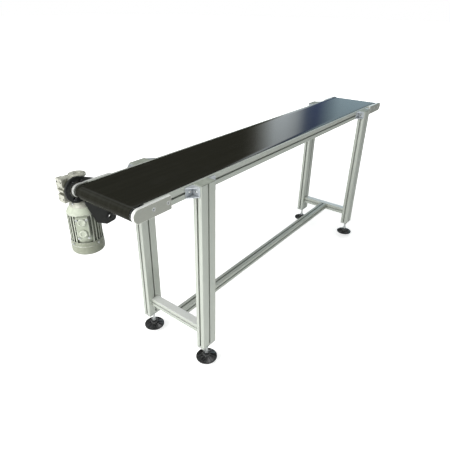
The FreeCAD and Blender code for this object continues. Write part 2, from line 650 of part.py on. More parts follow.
# ---- Gear box and its mounting plate ------------------------------------------------------------
FIXING_PLACES = ((-17.5, -30.3), (-17.5, 30.3), (17.5, -30.3), (17.5, 30.3))
DISC_RADIUS = 48.0         # black plate around the output shaft
WEB_X0 = DRIVE_AXIS_X + 104.0
WEB_X1 = DRIVE_AXIS_X + 130.0
WEB_TOP_Z = -END_PLATE_HEIGHT - 2.0
LUG_Y0 = BELT_WIDTH / 2 - 8.5
LUG_Y1 = LUG_Y0 + 6.0
LUG_EYE_X = DRIVE_AXIS_X + 95.0
LUG_EYE_Z = ROLLER_AXIS_Z - 130.0
LUG_CORNERS = ((16, -48, 13), (50, -130, 11), (82, -145, 13), (110, -141, 14), (118, -40, 10))


def circle_places(count, radius, first_angle=45.0):
    """Points on a circle as (along x, along z) offsets."""
    angles = [math.radians(first_angle + 360.0 * i / count) for i in range(count)]
    return [(radius * math.cos(a), radius * math.sin(a)) for a in angles]


def mount_plate():
    """Arm plate outside the end plate, a web under it, and the lug that hangs under the belt's edge."""
    x, z = DRIVE_AXIS_X, ROLLER_AXIS_Z
    arm = hull_of_circles([(x, z, DISC_RADIUS), (x + 132, z - 18, 16.0)], PLATE_Y, GEAR_FACE_Y)
    tab = box(WEB_X0, WEB_X1, PLATE_Y, GEAR_FACE_Y, WEB_TOP_Z - 8, z - 20)
    web = box(WEB_X0, WEB_X1, LUG_Y0, GEAR_FACE_Y, WEB_TOP_Z - 8, WEB_TOP_Z)
    lug = hull_of_circles([(x + dx, z + dz, radius) for dx, dz, radius in LUG_CORNERS], LUG_Y0, LUG_Y1)
    lug = lug.cut(box(x - 20, x + 150, LUG_Y0 - 1, LUG_Y1 + 1, WEB_TOP_Z, z + 1))
    boss = cyl_y(13.0, LUG_Y0 - 3, LUG_Y1 + 3, LUG_EYE_X, LUG_EYE_Z)
    plate = joined([arm, tab, web, lug, boss])
    tools = [cyl_y(SPIGOT_RADIUS + 0.05, PLATE_Y, GEAR_FACE_Y, x, z),
             cyl_y(7.0, LUG_Y0 - 3, LUG_Y1 + 3, LUG_EYE_X, LUG_EYE_Z)]
    tools += [cyl_y(3.3, PLATE_Y, GEAR_FACE_Y, sx, sz) for sx, sz in MOUNT_SCREWS]
    tools += [cyl_y(3.3, PLATE_Y, GEAR_FACE_Y, x + dx, z + dz)
              for dx, dz in FIXING_PLACES]
    return cut_all(plate, tools)


def mount_screws():
    """M6 screws: the plate onto the far drive end plate, and the gear box onto the plate."""
    long_screw, short_screw = cap_screw(6, 20), cap_screw(6, 16)
    screws = [aimed(long_screw, (x, GEAR_FACE_Y, z), (0, 1, 0)) for x, z in MOUNT_SCREWS]
    for dx, dz in FIXING_PLACES:
        place = (DRIVE_AXIS_X + dx, PLATE_Y, ROLLER_AXIS_Z + dz)
        screws.append(aimed(short_screw, place, (0, -1, 0)))
    return screws


HOUSING_NEAR_WALL = 13.0
COVER_THICKNESS = 5.0
HOUSING_END_Y = GEAR_FACE_Y + GEAR_WIDTH - 7
CAVITY_RADIUS = 26.5
WORM_CASE_RADIUS = 23.0
CAP_SEAT_RADIUS = 31.0     # ring around the top of the worm bore
COVER_RADIUS = 38.0
COVER_SCREW_CIRCLE = 32.0
SPIGOT_RADIUS = 30.0
FOOT_DZ = 32.0
FOOT_DY = 12.0
FOOT_HALF_WIDTH = 18.5


def gearbox_body():
    """The casting before any bore is cut."""
    x, z = DRIVE_AXIS_X, ROLLER_AXIS_Z
    z0, z1 = z - HOUSING_HALF_HEIGHT, z + WORM_CASE_TOP
    y0, y1 = GEAR_FACE_Y, HOUSING_END_Y
    bell_top = z0 + 2
    block = rounded_block(70, y1 - y0 - 12, z0 + 7, z1 - 13, 8, x + 10, (y0 + y1) / 2)
    parts = [block, cyl_y(COVER_RADIUS - 0.5, y0 + 4, y1 - 3, x, z), cyl_y(40.0, y0, y0 + 9, x, z),
             cyl_y(COVER_RADIUS, y1 - 9, y1, x, z), cyl_y(SPIGOT_RADIUS, y0 - 3, y0, x, z),
             cyl_z(WORM_CASE_RADIUS, z0, z1, WORM_X, GEAR_Y),
             cyl_z(CAP_SEAT_RADIUS, z1 - 7, z1, WORM_X, GEAR_Y),
             cyl_z(MOTOR_FLANGE_RADIUS, INPUT_FACE_Z, INPUT_FACE_Z + 4, WORM_X, GEAR_Y),
             cone_z(MOTOR_FLANGE_RADIUS, BELL_TOP_RADIUS, INPUT_FACE_Z + 4, bell_top, WORM_X, GEAR_Y)]
    foot_y0, foot_y1 = GEAR_Y - FOOT_HALF_WIDTH, GEAR_Y + FOOT_HALF_WIDTH
    for low, high in ((-HOUSING_HALF_HEIGHT, -16.0), (-3.5, 3.5), (16.0, HOUSING_HALF_HEIGHT)):
        parts.append(box(FOOT_FACE_X, x - 20, foot_y0, foot_y1, z + low, z + high))
    for dz in (-30.0, -10.0, 10.0):
        parts.append(cyl_z(WORM_CASE_RADIUS + 1.5, z + dz - 1.5, z + dz + 1.5, WORM_X, GEAR_Y))
    return joined(parts)


def gearbox_housing():
    x, z = DRIVE_AXIS_X, ROLLER_AXIS_Z
    z0, z1 = z - HOUSING_HALF_HEIGHT, z + WORM_CASE_TOP
    y0, y1 = GEAR_FACE_Y, HOUSING_END_Y
    tools = [cyl_y(CAVITY_RADIUS, y0 + HOUSING_NEAR_WALL, y1, x, z),
             cyl_y(COVER_RADIUS + 0.3, y1, y1 + 20, x, z),
             cyl_z(25.5, z1, z1 + 8, WORM_X, GEAR_Y),
             cyl_y(OUTPUT_BEARING_RADIUS, y0 - 3, y0 + HOUSING_NEAR_WALL - 1, x, z),
             cyl_y(OUTPUT_BEARING_RADIUS - 2.5, y0, y0 + HOUSING_NEAR_WALL, x, z),
             cyl_z(MOTOR_BEARING_RADIUS, INPUT_FACE_Z, z1, WORM_X, GEAR_Y)]
    for dz in (-FOOT_DZ, FOOT_DZ):
        for dy in (-FOOT_DY, FOOT_DY):
            tools.append(cyl_x(3.3, FOOT_FACE_X, x - 33, GEAR_Y + dy, z + dz))
    for dx, dz in FIXING_PLACES:
        tools.append(cyl_y(3.0, y0, y0 + 9, x + dx, z + dz))
    for dx, dz in circle_places(6, COVER_SCREW_CIRCLE, 30.0):
        tools.append(cyl_y(2.5, y1 - 6.5, y1, x + dx, z + dz))
    for dx, dy in circle_places(4, MOTOR_BOLT_CIRCLE):
        tools.append(on_motor(cyl_z(2.75, INPUT_FACE_Z, FLANGE_SEAT_Z, dx, dy)))
        tools.append(on_motor(cyl_z(4.8, FLANGE_SEAT_Z, z0 + 2, dx, dy)))
    return cut_all(gearbox_body(), tools)


def gearbox_side_cover():
    x, z, y1 = DRIVE_AXIS_X, ROLLER_AXIS_Z, HOUSING_END_Y
    face = y1 + COVER_THICKNESS
    parts = [cyl_y(COVER_RADIUS, y1, face, x, z), cyl_y(CAVITY_RADIUS - 0.05, y1 - 5, y1, x, z),
             cyl_y(27.0, face, face + 3, x, z)]
    for i in range(6):
        rib = box(x + 25, x + COVER_RADIUS - 1.5, face - 1, face + 1.5, z - 2, z + 2)
        rib.rotate(V(x, 0, z), V(0, 1, 0), 60 * i)
        parts.append(rib)
    tools = [cyl_y(OUTPUT_BEARING_RADIUS, y1 - 5, face + 3, x, z)]
    for dx, dz in circle_places(6, COVER_SCREW_CIRCLE, 30.0):
        tools.append(cyl_y(2.75, y1, face, x + dx, z + dz))
    return cut_all(joined(parts), tools)


def worm_end_cap():
    """The cast lid over the upper worm bearing, with a round recess in its face."""
    outline = [(0, -5), (MOTOR_BEARING_RADIUS - 0.05, -5), (MOTOR_BEARING_RADIUS - 0.05, 0), (25.0, 0),
               (25.0, 1), (24.0, 2), (13.0, 2), (12.0, 1), (11.0, -2), (0, -2)]
    return aimed(revolved(outline), (WORM_X, GEAR_Y, ROLLER_AXIS_Z + WORM_CASE_TOP), (0, 0, 1))


def output_seals():
    seal = cyl_z(OUTPUT_BEARING_RADIUS, 0, 3, 0, 0).cut(cyl_z(OUTPUT_SHAFT_RADIUS + 0.05, 0, 3, 0, 0))
    groove = cyl_z(21.0, -1, 0.8, 0, 0).cut(cyl_z(17.5, -1, 0.8, 0, 0))
    seal = seal.cut(groove)
    near = aimed(seal, (DRIVE_AXIS_X, GEAR_FACE_Y - 2.5, ROLLER_AXIS_Z), (0, 1, 0))
    far_y = HOUSING_END_Y + COVER_THICKNESS + 2.5
    far = aimed(seal, (DRIVE_AXIS_X, far_y, ROLLER_AXIS_Z), (0, -1, 0))
    return [near, far]


def gearmotor_bearings():
    """Output pair, worm pair and motor pair."""
    output = bearing(OUTPUT_SHAFT_RADIUS + RUNNING_GAP, OUTPUT_BEARING_RADIUS, 9.0)
    worm = bearing(8.5 + RUNNING_GAP, MOTOR_BEARING_RADIUS, 10.0)
    motor = bearing(MOTOR_JOURNAL_RADIUS + RUNNING_GAP, MOTOR_BEARING_RADIUS, MOTOR_BEARING_WIDTH)
    x, z = DRIVE_AXIS_X, ROLLER_AXIS_Z
    units = [aimed(output, (x, GEAR_FACE_Y + 2, z), (0, 1, 0)),
             aimed(output, (x, HOUSING_END_Y - 4.5, z), (0, 1, 0))]
    units += [aimed(worm, (WORM_X, GEAR_Y, z + dz), (0, 0, 1)) for dz in WORM_BEARING_DZ]
    units += [aimed(motor, (WORM_X, GEAR_Y, level), (0, 0, 1)) for level in MOTOR_BEARING_LEVELS]
    return units


# ---- Worm and wheel: module 1.4, single start against 30 teeth ----------------------------------
WORM_PITCH = math.pi * GEAR_MODULE
WORM_OUTER_RADIUS = WORM_PITCH_RADIUS + GEAR_MODULE
WORM_ROOT_RADIUS = WORM_PITCH_RADIUS - 1.2 * GEAR_MODULE
WHEEL_PITCH_RADIUS = GEAR_MODULE * WHEEL_TEETH / 2
WHEEL_OUTER_RADIUS = WHEEL_PITCH_RADIUS + GEAR_MODULE
WHEEL_ROOT_RADIUS = WHEEL_PITCH_RADIUS - 1.3 * GEAR_MODULE
WORM_LEAD_ANGLE = math.degrees(math.atan(WORM_PITCH / (2 * math.pi * WORM_PITCH_RADIUS)))
WHEEL_HALF_WIDTH = 8.0
WORM_THREAD_HALF_LENGTH = 11.0
WORM_BEARING_DZ = (-44.0, WORM_CASE_TOP - 15.0)


def worm_wheel():
    """Wheel on its hollow output shaft; built about Z, then laid along Y."""
    wheel = cyl_z(WHEEL_OUTER_RADIUS, -WHEEL_HALF_WIDTH, WHEEL_HALF_WIDTH, 0, 0)
    gaps = []
    for i in range(WHEEL_TEETH):
        inner, outer = WHEEL_ROOT_RADIUS, WHEEL_OUTER_RADIUS + 1
        low, high = 0.75 * GEAR_MODULE, 1.45 * GEAR_MODULE
        flank = [(inner, -low), (outer, -high), (outer, high), (inner, low)]
        gap = prism([(r, t, -WHEEL_HALF_WIDTH - 2) for r, t in flank], (0, 0, 2 * WHEEL_HALF_WIDTH + 4))
        gap.rotate(V(0, 0, 0), V(1, 0, 0), WORM_LEAD_ANGLE)
        gap.rotate(V(0, 0, 0), V(0, 0, 1), 360.0 * i / WHEEL_TEETH)
        gaps.append(gap)
    wheel = cut_all(wheel, gaps)
    hollow = cyl_z(OUTPUT_SHAFT_RADIUS, -GEAR_WIDTH / 2 - 2, GEAR_WIDTH / 2 + 2, 0, 0)
    body = joined([wheel, hollow]).cut(cyl_z(OUTPUT_BORE_RADIUS, -60, 60, 0, 0))
    body = body.cut(box(-3, 3, 0, 11.8, -60, 60))
    body.rotate(V(0, 0, 0), V(1, 0, 0), 90)
    return moved(body, DRIVE_AXIS_X, GEAR_Y, ROLLER_AXIS_Z)


def shaft_key():
    x, z = DRIVE_AXIS_X, ROLLER_AXIS_Z
    return box(x - 2.95, x + 2.95, GEAR_Y - 21.5, GEAR_Y + 21.5, z + 5.6, z + 11.7)


def worm_thread():
    """A right-hand trapezoidal thread about Z; its crest meets the wheel's tooth gap at z = 0."""
    turns_length = 2 * WORM_THREAD_HALF_LENGTH
    helix = Part.makeHelix(WORM_PITCH, turns_length, WORM_PITCH_RADIUS)
    helix.translate(V(0, 0, -WORM_THREAD_HALF_LENGTH))
    inner, outer = WORM_ROOT_RADIUS - 0.8, WORM_OUTER_RADIUS
    level = -WORM_THREAD_HALF_LENGTH
    low, high = 0.85 * GEAR_MODULE, 0.3 * GEAR_MODULE
    flank = [(inner, -low), (outer, -high), (outer, high), (inner, low)]
    wire = Part.makePolygon([V(r, 0, level + t) for r, t in flank + flank[:1]])
    thread = Part.Wire(helix).makePipeShell([wire], True, True)
    return Part.Solid(thread) if thread.ShapeType != "Solid" else thread


def worm_shaft():
    """Worm with its journals; the lower end is hollow and takes the motor shaft."""
    core = cyl_z(WORM_ROOT_RADIUS, -34, 28, 0, 0)
    parts = [core, cyl_z(8.45, -72, -34, 0, 0), cyl_z(8.45, 27, 37.5, 0, 0)]
    body = joined(parts).fuse(worm_thread())
    body = body.cut(cyl_z(MOTOR_SHAFT_RADIUS, -73, -44, 0, 0))
    return moved(body, WORM_X, GEAR_Y, ROLLER_AXIS_Z)


# ---- Motor --------------------------------------------------------------------------------------
MOTOR_BOLT_CIRCLE = 37.5
BELL_TOP_RADIUS = 25.0     # neck of the casting that widens to the motor flange
FLANGE_SEAT_Z = INPUT_FACE_Z + 10.0
MOTOR_BEARING_LEVELS = (INPUT_FACE_Z - 20.0, INPUT_FACE_Z - 151.0)
COWL_SCREW_Z = INPUT_FACE_Z - HOUSING_END - 4.0
BOX_HALF_WIDTH = 23.0
BOX_TOP = INPUT_FACE_Z - 28.5
BOX_BOTTOM = INPUT_FACE_Z - 113.0
BOX_INNER = 52.5
BOX_OUTER = 66.0
LID_THICKNESS = 4.0


def on_motor(shape):
    """From local axes (motor axis at the origin, heading +X) to the motor's place and heading."""
    copy = shape.copy()
    copy.rotate(V(0, 0, 0), V(0, 0, 1), TERMINAL_BOX_HEADING)
    copy.translate(V(WORM_X, GEAR_Y, 0))
    return copy


def motor_flange_shield():
    face = INPUT_FACE_Z
    outline = [(MOTOR_BEARING_RADIUS, 0), (MOTOR_FLANGE_RADIUS, 0), (MOTOR_FLANGE_RADIUS + 5, -7),
               (MOTOR_FIN_RADIUS - 1, -SHIELD_DEPTH + 3), (MOTOR_FIN_RADIUS - 1, -SHIELD_DEPTH),
               (MOTOR_BEARING_RADIUS, -SHIELD_DEPTH)]
    shield = moved(revolved(outline), z=face)
    tools = [cyl_z(2.5, face - 12, face, dx, dy) for dx, dy in circle_places(4, MOTOR_BOLT_CIRCLE)]
    return on_motor(cut_all(shield, tools))


def motor_housing():
    top, bottom = INPUT_FACE_Z - SHIELD_DEPTH, INPUT_FACE_Z - HOUSING_END
    parts = [cyl_z(MOTOR_CORE_RADIUS, bottom - 12, top, 0, 0),
             cyl_z(MOTOR_FIN_RADIUS - 1, top - 4, top, 0, 0)]
    for i in range(FIN_COUNT):
        angle = 360.0 * (i + 0.5) / FIN_COUNT
        offset = min(angle, 360.0 - angle)
        if offset < 27:
            continue
        fin = box(MOTOR_CORE_RADIUS - 2, MOTOR_FIN_RADIUS, -FIN_THICKNESS / 2, FIN_THICKNESS / 2,
                  bottom, top)
        fin.rotate(V(0, 0, 0), V(0, 0, 1), angle)
        parts.append(fin)
    pad = box(MOTOR_CORE_RADIUS - 16, BOX_INNER, -BOX_HALF_WIDTH + 3, BOX_HALF_WIDTH - 3,
              BOX_BOTTOM + 3, BOX_TOP - 3)
    parts.append(pad)
    bore = cyl_z(MOTOR_BORE_RADIUS, bottom - 12, top, 0, 0)
    slot = box(MOTOR_BORE_RADIUS - 4, BOX_INNER + 1, -9, 9, BOX_TOP - 40, BOX_TOP - 22)
    tools = [bore, slot]
    for dx, dy in circle_places(4, 1.0):
        tools.append(Part.makeCylinder(2.5, 12, V(dx * 44, dy * 44, COWL_SCREW_Z), V(dx, dy, 0)))
    return on_motor(cut_all(joined(parts), tools))


def motor_rear_shield():
    level = INPUT_FACE_Z - HOUSING_END - 12
    outline = [(MOTOR_BEARING_RADIUS, 13), (MOTOR_BORE_RADIUS - 0.05, 12), (MOTOR_BORE_RADIUS - 0.05, 0),
               (MOTOR_CORE_RADIUS, 0), (MOTOR_CORE_RADIUS, -4), (24, -7), (MOTOR_JOURNAL_RADIUS + 1, -7),
               (MOTOR_JOURNAL_RADIUS + 1, 0), (MOTOR_BEARING_RADIUS, 0)]
    return on_motor(moved(revolved(outline), z=level))


def stator_core():
    """Lamination stack with its two winding heads."""
    top, bottom = INPUT_FACE_Z - 48, INPUT_FACE_Z - 112
    stack = cyl_z(MOTOR_BORE_RADIUS - 0.02, bottom, top, 0, 0)
    heads = [cyl_z(41, top, top + 14, 0, 0), cyl_z(41, bottom - 14, bottom, 0, 0)]
    bore = cyl_z(30.6, bottom - 20, top + 20, 0, 0)
    return on_motor(joined([stack] + heads).cut(bore))


def rotor_core():
    top, bottom = INPUT_FACE_Z - 48, INPUT_FACE_Z - 112
    core = cyl_z(30.0, bottom, top, 0, 0)
    rings = [cyl_z(28, top, top + 8, 0, 0), cyl_z(28, bottom - 8, bottom, 0, 0)]
    bore = cyl_z(10.0, bottom - 10, top + 10, 0, 0)
    return on_motor(joined([core] + rings).cut(bore))


def motor_shaft():
    face = INPUT_FACE_Z
    parts = [cyl_z(MOTOR_SHAFT_RADIUS - 0.02, face - 8, face + 29, 0, 0),
             cyl_z(MOTOR_JOURNAL_RADIUS, face - 24, face - 8, 0, 0),
             cyl_z(10.0, face - 136, face - 24, 0, 0),
             cyl_z(MOTOR_JOURNAL_RADIUS, face - 164, face - 136, 0, 0),
             cyl_z(6.0, face - 182, face - 164, 0, 0)]
    return on_motor(joined(parts))


def cooling_fan():
    level = INPUT_FACE_Z - 182
    parts = [cyl_z(14, level + 2, level + 18, 0, 0), cyl_z(50, level + 14, level + 17, 0, 0)]
    for i in range(8):
        blade = box(12, 50, -1.2, 1.2, level + 2, level + 15)
        blade.rotate(V(0, 0, 0), V(0, 0, 1), 45.0 * i)
        parts.append(blade)
    return on_motor(joined(parts).cut(cyl_z(6.0, level - 1, level + 20, 0, 0)))


def fan_cowl():
    top, bottom = INPUT_FACE_Z - HOUSING_END + 4, INPUT_FACE_Z - MOTOR_LENGTH
    bend = 9.0
    step = top - 17
    outer = [(COWL_RADIUS - 1.2, top), (COWL_RADIUS - 1.2, step), (COWL_RADIUS, step - 1.2),
             (COWL_RADIUS, bottom + bend)]
    for i in range(1, 7):
        a = math.radians(15.0 * i)
        outer.append((COWL_RADIUS - bend + bend * math.cos(a), bottom + bend - bend * math.sin(a)))
    inner_bend = bend - COWL_WALL
    inner = []
    for i in range(6, 0, -1):
        a = math.radians(15.0 * i)
        inner.append((COWL_RADIUS - bend + inner_bend * math.cos(a),
                      bottom + bend - inner_bend * math.sin(a)))
    inner += [(COWL_RADIUS - COWL_WALL, bottom + bend), (COWL_RADIUS - COWL_WALL, step - 1.2),
              (COWL_RADIUS - 1.2 - COWL_WALL + 0.8, step), (COWL_RADIUS - 1.2 - COWL_WALL + 0.8, top)]
    outline = outer + [(0, bottom), (0, bottom + COWL_WALL)] + inner
    shell = revolved(outline)
    tools = []
    for radius in (16.0, 25.0, 34.0, 43.0):
        count = int(radius / 2.1)
        for dx, dy in circle_places(count, radius, 0.0):
            tools.append(cyl_z(3.0, bottom - 1, bottom + 4, dx, dy))
    for dx, dy in circle_places(4, COWL_RADIUS):
        tools.append(Part.makeCylinder(2.7, 12, V(dx * 0.9, dy * 0.9, COWL_SCREW_Z), V(dx, dy, 0)))
    return on_motor(cut_all(shell, tools))


def terminal_box():
    body = box(BOX_INNER, BOX_OUTER, -BOX_HALF_WIDTH, BOX_HALF_WIDTH, BOX_BOTTOM, BOX_TOP)
    upright = [e for e in body.Edges if abs(e.tangentAt(e.FirstParameter).x) > 0.99]
    body = body.makeFillet(5.0, upright)
    inside = box(BOX_INNER + 3, BOX_OUTER, -BOX_HALF_WIDTH + 3, BOX_HALF_WIDTH - 3,
                 BOX_BOTTOM + 3, BOX_TOP - 3)
    entry = box(BOX_INNER, BOX_INNER + 3, -9, 9, BOX_TOP - 40, BOX_TOP - 22)
    posts = []
    bores = []
    for y, z in lid_screw_places():
        posts.append(cyl_x(5.0, BOX_INNER + 2, BOX_OUTER, y, z))
        bores.append(cyl_x(2.5, BOX_OUTER - 8, BOX_OUTER, y, z))
    hollow = cut_all(body, [inside.cut(Part.makeCompound(posts)), entry])
    return on_motor(cut_all(hollow, bores))


def lid_screw_places():
    inset = 5.5
    return [(sy * (BOX_HALF_WIDTH - inset), z) for sy in (-1, 1)
            for z in (BOX_BOTTOM + inset, BOX_TOP - inset)]


GLAND_LEVELS = (BOX_TOP - 15.5, BOX_TOP - 61.5)
GLAND_BORE = 8.0


def terminal_box_lid():
    lid = box(BOX_OUTER, BOX_OUTER + LID_THICKNESS, -BOX_HALF_WIDTH, BOX_HALF_WIDTH,
              BOX_BOTTOM, BOX_TOP)
    upright = [e for e in lid.Edges if abs(e.tangentAt(e.FirstParameter).x) > 0.99]
    lid = lid.makeFillet(5.0, upright)
    front = [e for e in lid.Edges
             if all(abs(v.X - BOX_OUTER - LID_THICKNESS) < 1e-6 for v in e.Vertexes)]
    lid = lid.makeChamfer(1.5, front)
    tools = [cyl_x(2.75, BOX_OUTER, BOX_OUTER + 10, y, z) for y, z in lid_screw_places()]
    tools += [cyl_x(GLAND_BORE, BOX_OUTER - 1, BOX_OUTER + 10, 0, z) for z in GLAND_LEVELS]
    return on_motor(cut_all(lid, tools))


def cable_glands():
    """Two low round entries on the lid: thread, wide rim, shallow mouth."""
    outline = [(0, -9), (GLAND_BORE - THREAD_GAP, -9), (GLAND_BORE - THREAD_GAP, 0), (14.5, 0),
               (15, 1), (15, 4), (13.5, 6), (9.5, 6.5), (9, 5), (0, 4.5)]
    gland = revolved(outline)
    outer = BOX_OUTER + LID_THICKNESS
    return [on_motor(aimed(gland, (outer, 0, z), (1, 0, 0))) for z in GLAND_LEVELS]


def m5_screws():
    """Every M5 screw of the gear motor: side cover, motor flange, terminal box lid and cowl."""
    screw, cover_screw = cap_screw(5, 14), cap_screw(5, 10)
    screws = []
    cover_face = HOUSING_END_Y + COVER_THICKNESS
    for dx, dz in circle_places(6, COVER_SCREW_CIRCLE, 30.0):
        place = (DRIVE_AXIS_X + dx, cover_face, ROLLER_AXIS_Z + dz)
        screws.append(aimed(cover_screw, place, (0, 1, 0)))
    for dx, dy in circle_places(4, MOTOR_BOLT_CIRCLE):
        bolt = aimed(screw, (dx, dy, FLANGE_SEAT_Z), (0, 0, 1))
        screws.append(on_motor(bolt))
    for y, z in lid_screw_places():
        screws.append(on_motor(aimed(cover_screw, (BOX_OUTER + LID_THICKNESS, y, z), (1, 0, 0))))
    for dx, dy in circle_places(4, 1.0):
        seat = ((COWL_RADIUS - 1) * dx, (COWL_RADIUS - 1) * dy, COWL_SCREW_Z)
        screws.append(on_motor(aimed(screw, seat, (dx, dy, 0))))
    return screws


# ---- Levelling feet -----------------------------------------------------------------------------
def foot_spindle():
    """Ball, neck, hexagon and threaded rod, standing on the floor at the origin."""
    z = FLOOR_Z
    parts = [Part.makeSphere(BALL_RADIUS, V(0, 0, z + BALL_HEIGHT)),
             cyl_z(5.0, z + BALL_HEIGHT + 5, z + 28, 0, 0),
             moved(hexagon(17, 0, 9), z=z + 27),
             cyl_z(SPINDLE_RADIUS, z + 36, z + SPINDLE_TOP - 1, 0, 0),
             cone_z(SPINDLE_RADIUS, SPINDLE_RADIUS - 1, z + SPINDLE_TOP - 1, z + SPINDLE_TOP, 0, 0)]
    return joined(parts)


def foot_pad():
    outline = [(0, 0), (PAD_RADIUS - 1, 0), (PAD_RADIUS, 1), (PAD_RADIUS, PAD_RIM_HEIGHT - 1),
               (PAD_RADIUS - 1, PAD_RIM_HEIGHT), (PAD_RADIUS - 4, PAD_RIM_HEIGHT), (19, 14),
               (17, PAD_HUB_HEIGHT - 1.5), (15.5, PAD_HUB_HEIGHT), (0, PAD_HUB_HEIGHT)]
    dome = revolved(outline)
    ribs = []
    for i in range(10):
        rib = prism([(17, -1.5, 5), (PAD_RADIUS - 3, -1.5, 5), (PAD_RADIUS - 3, -1.5, 7), (17, -1.5, 20)],
                    (0, 3, 0))
        rib.rotate(V(0, 0, 0), V(0, 0, 1), 36.0 * i)
        ribs.append(rib)
    body = joined([dome] + ribs)
    socket = Part.makeSphere(BALL_RADIUS + 0.1, V(0, 0, BALL_HEIGHT))
    mouth = cone_z(6.0, 8.2, BALL_HEIGHT + 5, PAD_HUB_HEIGHT, 0, 0)
    return moved(cut_all(body, [socket, mouth]), z=FLOOR_Z)


# ---- All nodes ----------------------------------------------------------------------------------
def write_stand():
    upright, plate, cap = leg(), base_plate(), top_cap()
    spindle, pad = foot_spindle(), foot_pad()
    plates, caps = [], []
    for name, (x, y) in LEG_PLACES.items():
        write_node("leg_" + name, moved(upright, x, y))
        write_node("foot_spindle_" + name, moved(spindle, x, y))
        write_node("foot_pad_" + name, moved(pad, x, y))
        plates.append(moved(plate, x, y))
        caps.append(moved(cap, x, y))
    write_node("foot_base_plates", *plates)
    write_node("leg_top_caps", *caps)
    write_node("cross_member_drive", cross_member(DRIVE_LEG_X))
    write_node("cross_member_tail", cross_member(TAIL_LEG_X))
    write_node("stretcher", stretcher())


def write_bed_and_belt():
    rail = near_side_rail()
    write_node("side_rail_near", rail)
    write_node("side_rail_far", far_side(rail))
    write_node("slider_bed", slider_bed())
    write_node("bed_cross_ties", *cross_ties())
    write_node("belt", belt())
    write_node("drive_end_plate_near", drive_end_plate(shaft_passes=False))
    write_node("drive_end_plate_far", far_side(drive_end_plate(shaft_passes=True)))
    tail_plate = tail_end_plate()
    write_node("tail_end_plate_near", tail_plate)
    write_node("tail_end_plate_far", far_side(tail_plate))


def write_fasteners():
    brackets, gusset_screws, gusset_nuts = gusset_sets()
    plate_screws, plate_nuts = end_plate_screws()
    write_node("gusset_brackets", *brackets)
    write_node("gusset_screws", *gusset_screws)
    write_node("slot_nuts", *(gusset_nuts + plate_nuts))
    write_node("frame_cap_screws", *(plate_screws + base_plate_screws()))
    write_node("slot_bolts", *slot_bolts())


def write_rollers():
    write_node("drive_roller_drum", drive_drum())
    write_node("drive_shaft", drive_shaft())
    write_node("shaft_key", shaft_key())
    write_node("drive_roller_bearings", *drive_bearings())
    write_node("tail_axle", tail_axle())
    write_node("tail_roller_drum", tail_drum())
    write_node("tail_roller_bearings", *tail_bearings())
    write_node("belt_tension_screws", *tension_screws())


def write_gear_box():
    write_node("gearbox_mount_plate", mount_plate())
    write_node("mount_screws", *mount_screws())
    write_node("gearbox_housing", gearbox_housing())
    write_node("gearbox_side_cover", gearbox_side_cover())
    write_node("worm_end_cap", worm_end_cap())
    write_node("output_shaft_seals", *output_seals())
    write_node("gearmotor_bearings", *gearmotor_bearings())
    write_node("worm_wheel", worm_wheel())
    write_node("worm_shaft", worm_shaft())
    write_node("gearmotor_screws", *m5_screws())


def write_motor():
    write_node("motor_flange_shield", motor_flange_shield())
    write_node("motor_housing", motor_housing())
    write_node("motor_rear_shield", motor_rear_shield())
    write_node("stator_core", stator_core())
    write_node("rotor_core", rotor_core())
    write_node("motor_shaft", motor_shaft())
    write_node("cooling_fan", cooling_fan())
    write_node("fan_cowl", fan_cowl())
    write_node("terminal_box", terminal_box())
    write_node("terminal_box_lid", terminal_box_lid())
    write_node("cable_glands", *cable_glands())


os.makedirs("parts", exist_ok=True)
write_stand()
write_bed_and_belt()
write_fasteners()
write_rollers()
write_gear_box()
write_motor()
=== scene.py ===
import json
import math

import bmesh
import bpy
from mathutils import Matrix, Vector


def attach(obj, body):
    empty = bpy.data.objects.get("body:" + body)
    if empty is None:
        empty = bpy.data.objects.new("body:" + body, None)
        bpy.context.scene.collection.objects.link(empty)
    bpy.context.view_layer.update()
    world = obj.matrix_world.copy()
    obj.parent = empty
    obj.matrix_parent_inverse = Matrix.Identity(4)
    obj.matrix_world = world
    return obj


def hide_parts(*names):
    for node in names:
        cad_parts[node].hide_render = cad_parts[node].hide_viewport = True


# Belt conveyor section. Metres, in the CAD frame: the origin is the middle of the belt's carrying
# face, +X runs from the drive end to the tail end, +Y points to the gear motor, +Z is up.

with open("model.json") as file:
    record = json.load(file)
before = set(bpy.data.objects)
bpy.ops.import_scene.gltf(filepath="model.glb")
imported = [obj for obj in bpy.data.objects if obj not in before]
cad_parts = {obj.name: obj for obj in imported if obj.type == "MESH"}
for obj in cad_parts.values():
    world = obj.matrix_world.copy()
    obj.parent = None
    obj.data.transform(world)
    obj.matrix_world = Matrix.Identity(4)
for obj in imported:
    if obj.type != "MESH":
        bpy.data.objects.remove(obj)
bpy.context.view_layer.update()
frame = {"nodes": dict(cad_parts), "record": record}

# ---- Sizes shared by several pieces ---------------------------------------------------------------
FLOOR_Z = -0.886           # below the pads of the fully lowered feet
NOSE_X = 1.025             # roller axes at -NOSE_X and +NOSE_X
BEND = 0.025               # outside radius of the belt on the rollers
BELT_HALF_WIDTH = 0.14
BELT_THICKNESS = 0.002
WORLD_STRENGTH = 1.0
FLOOR_GLOW = 0.55          # floor brightness added towards the camera


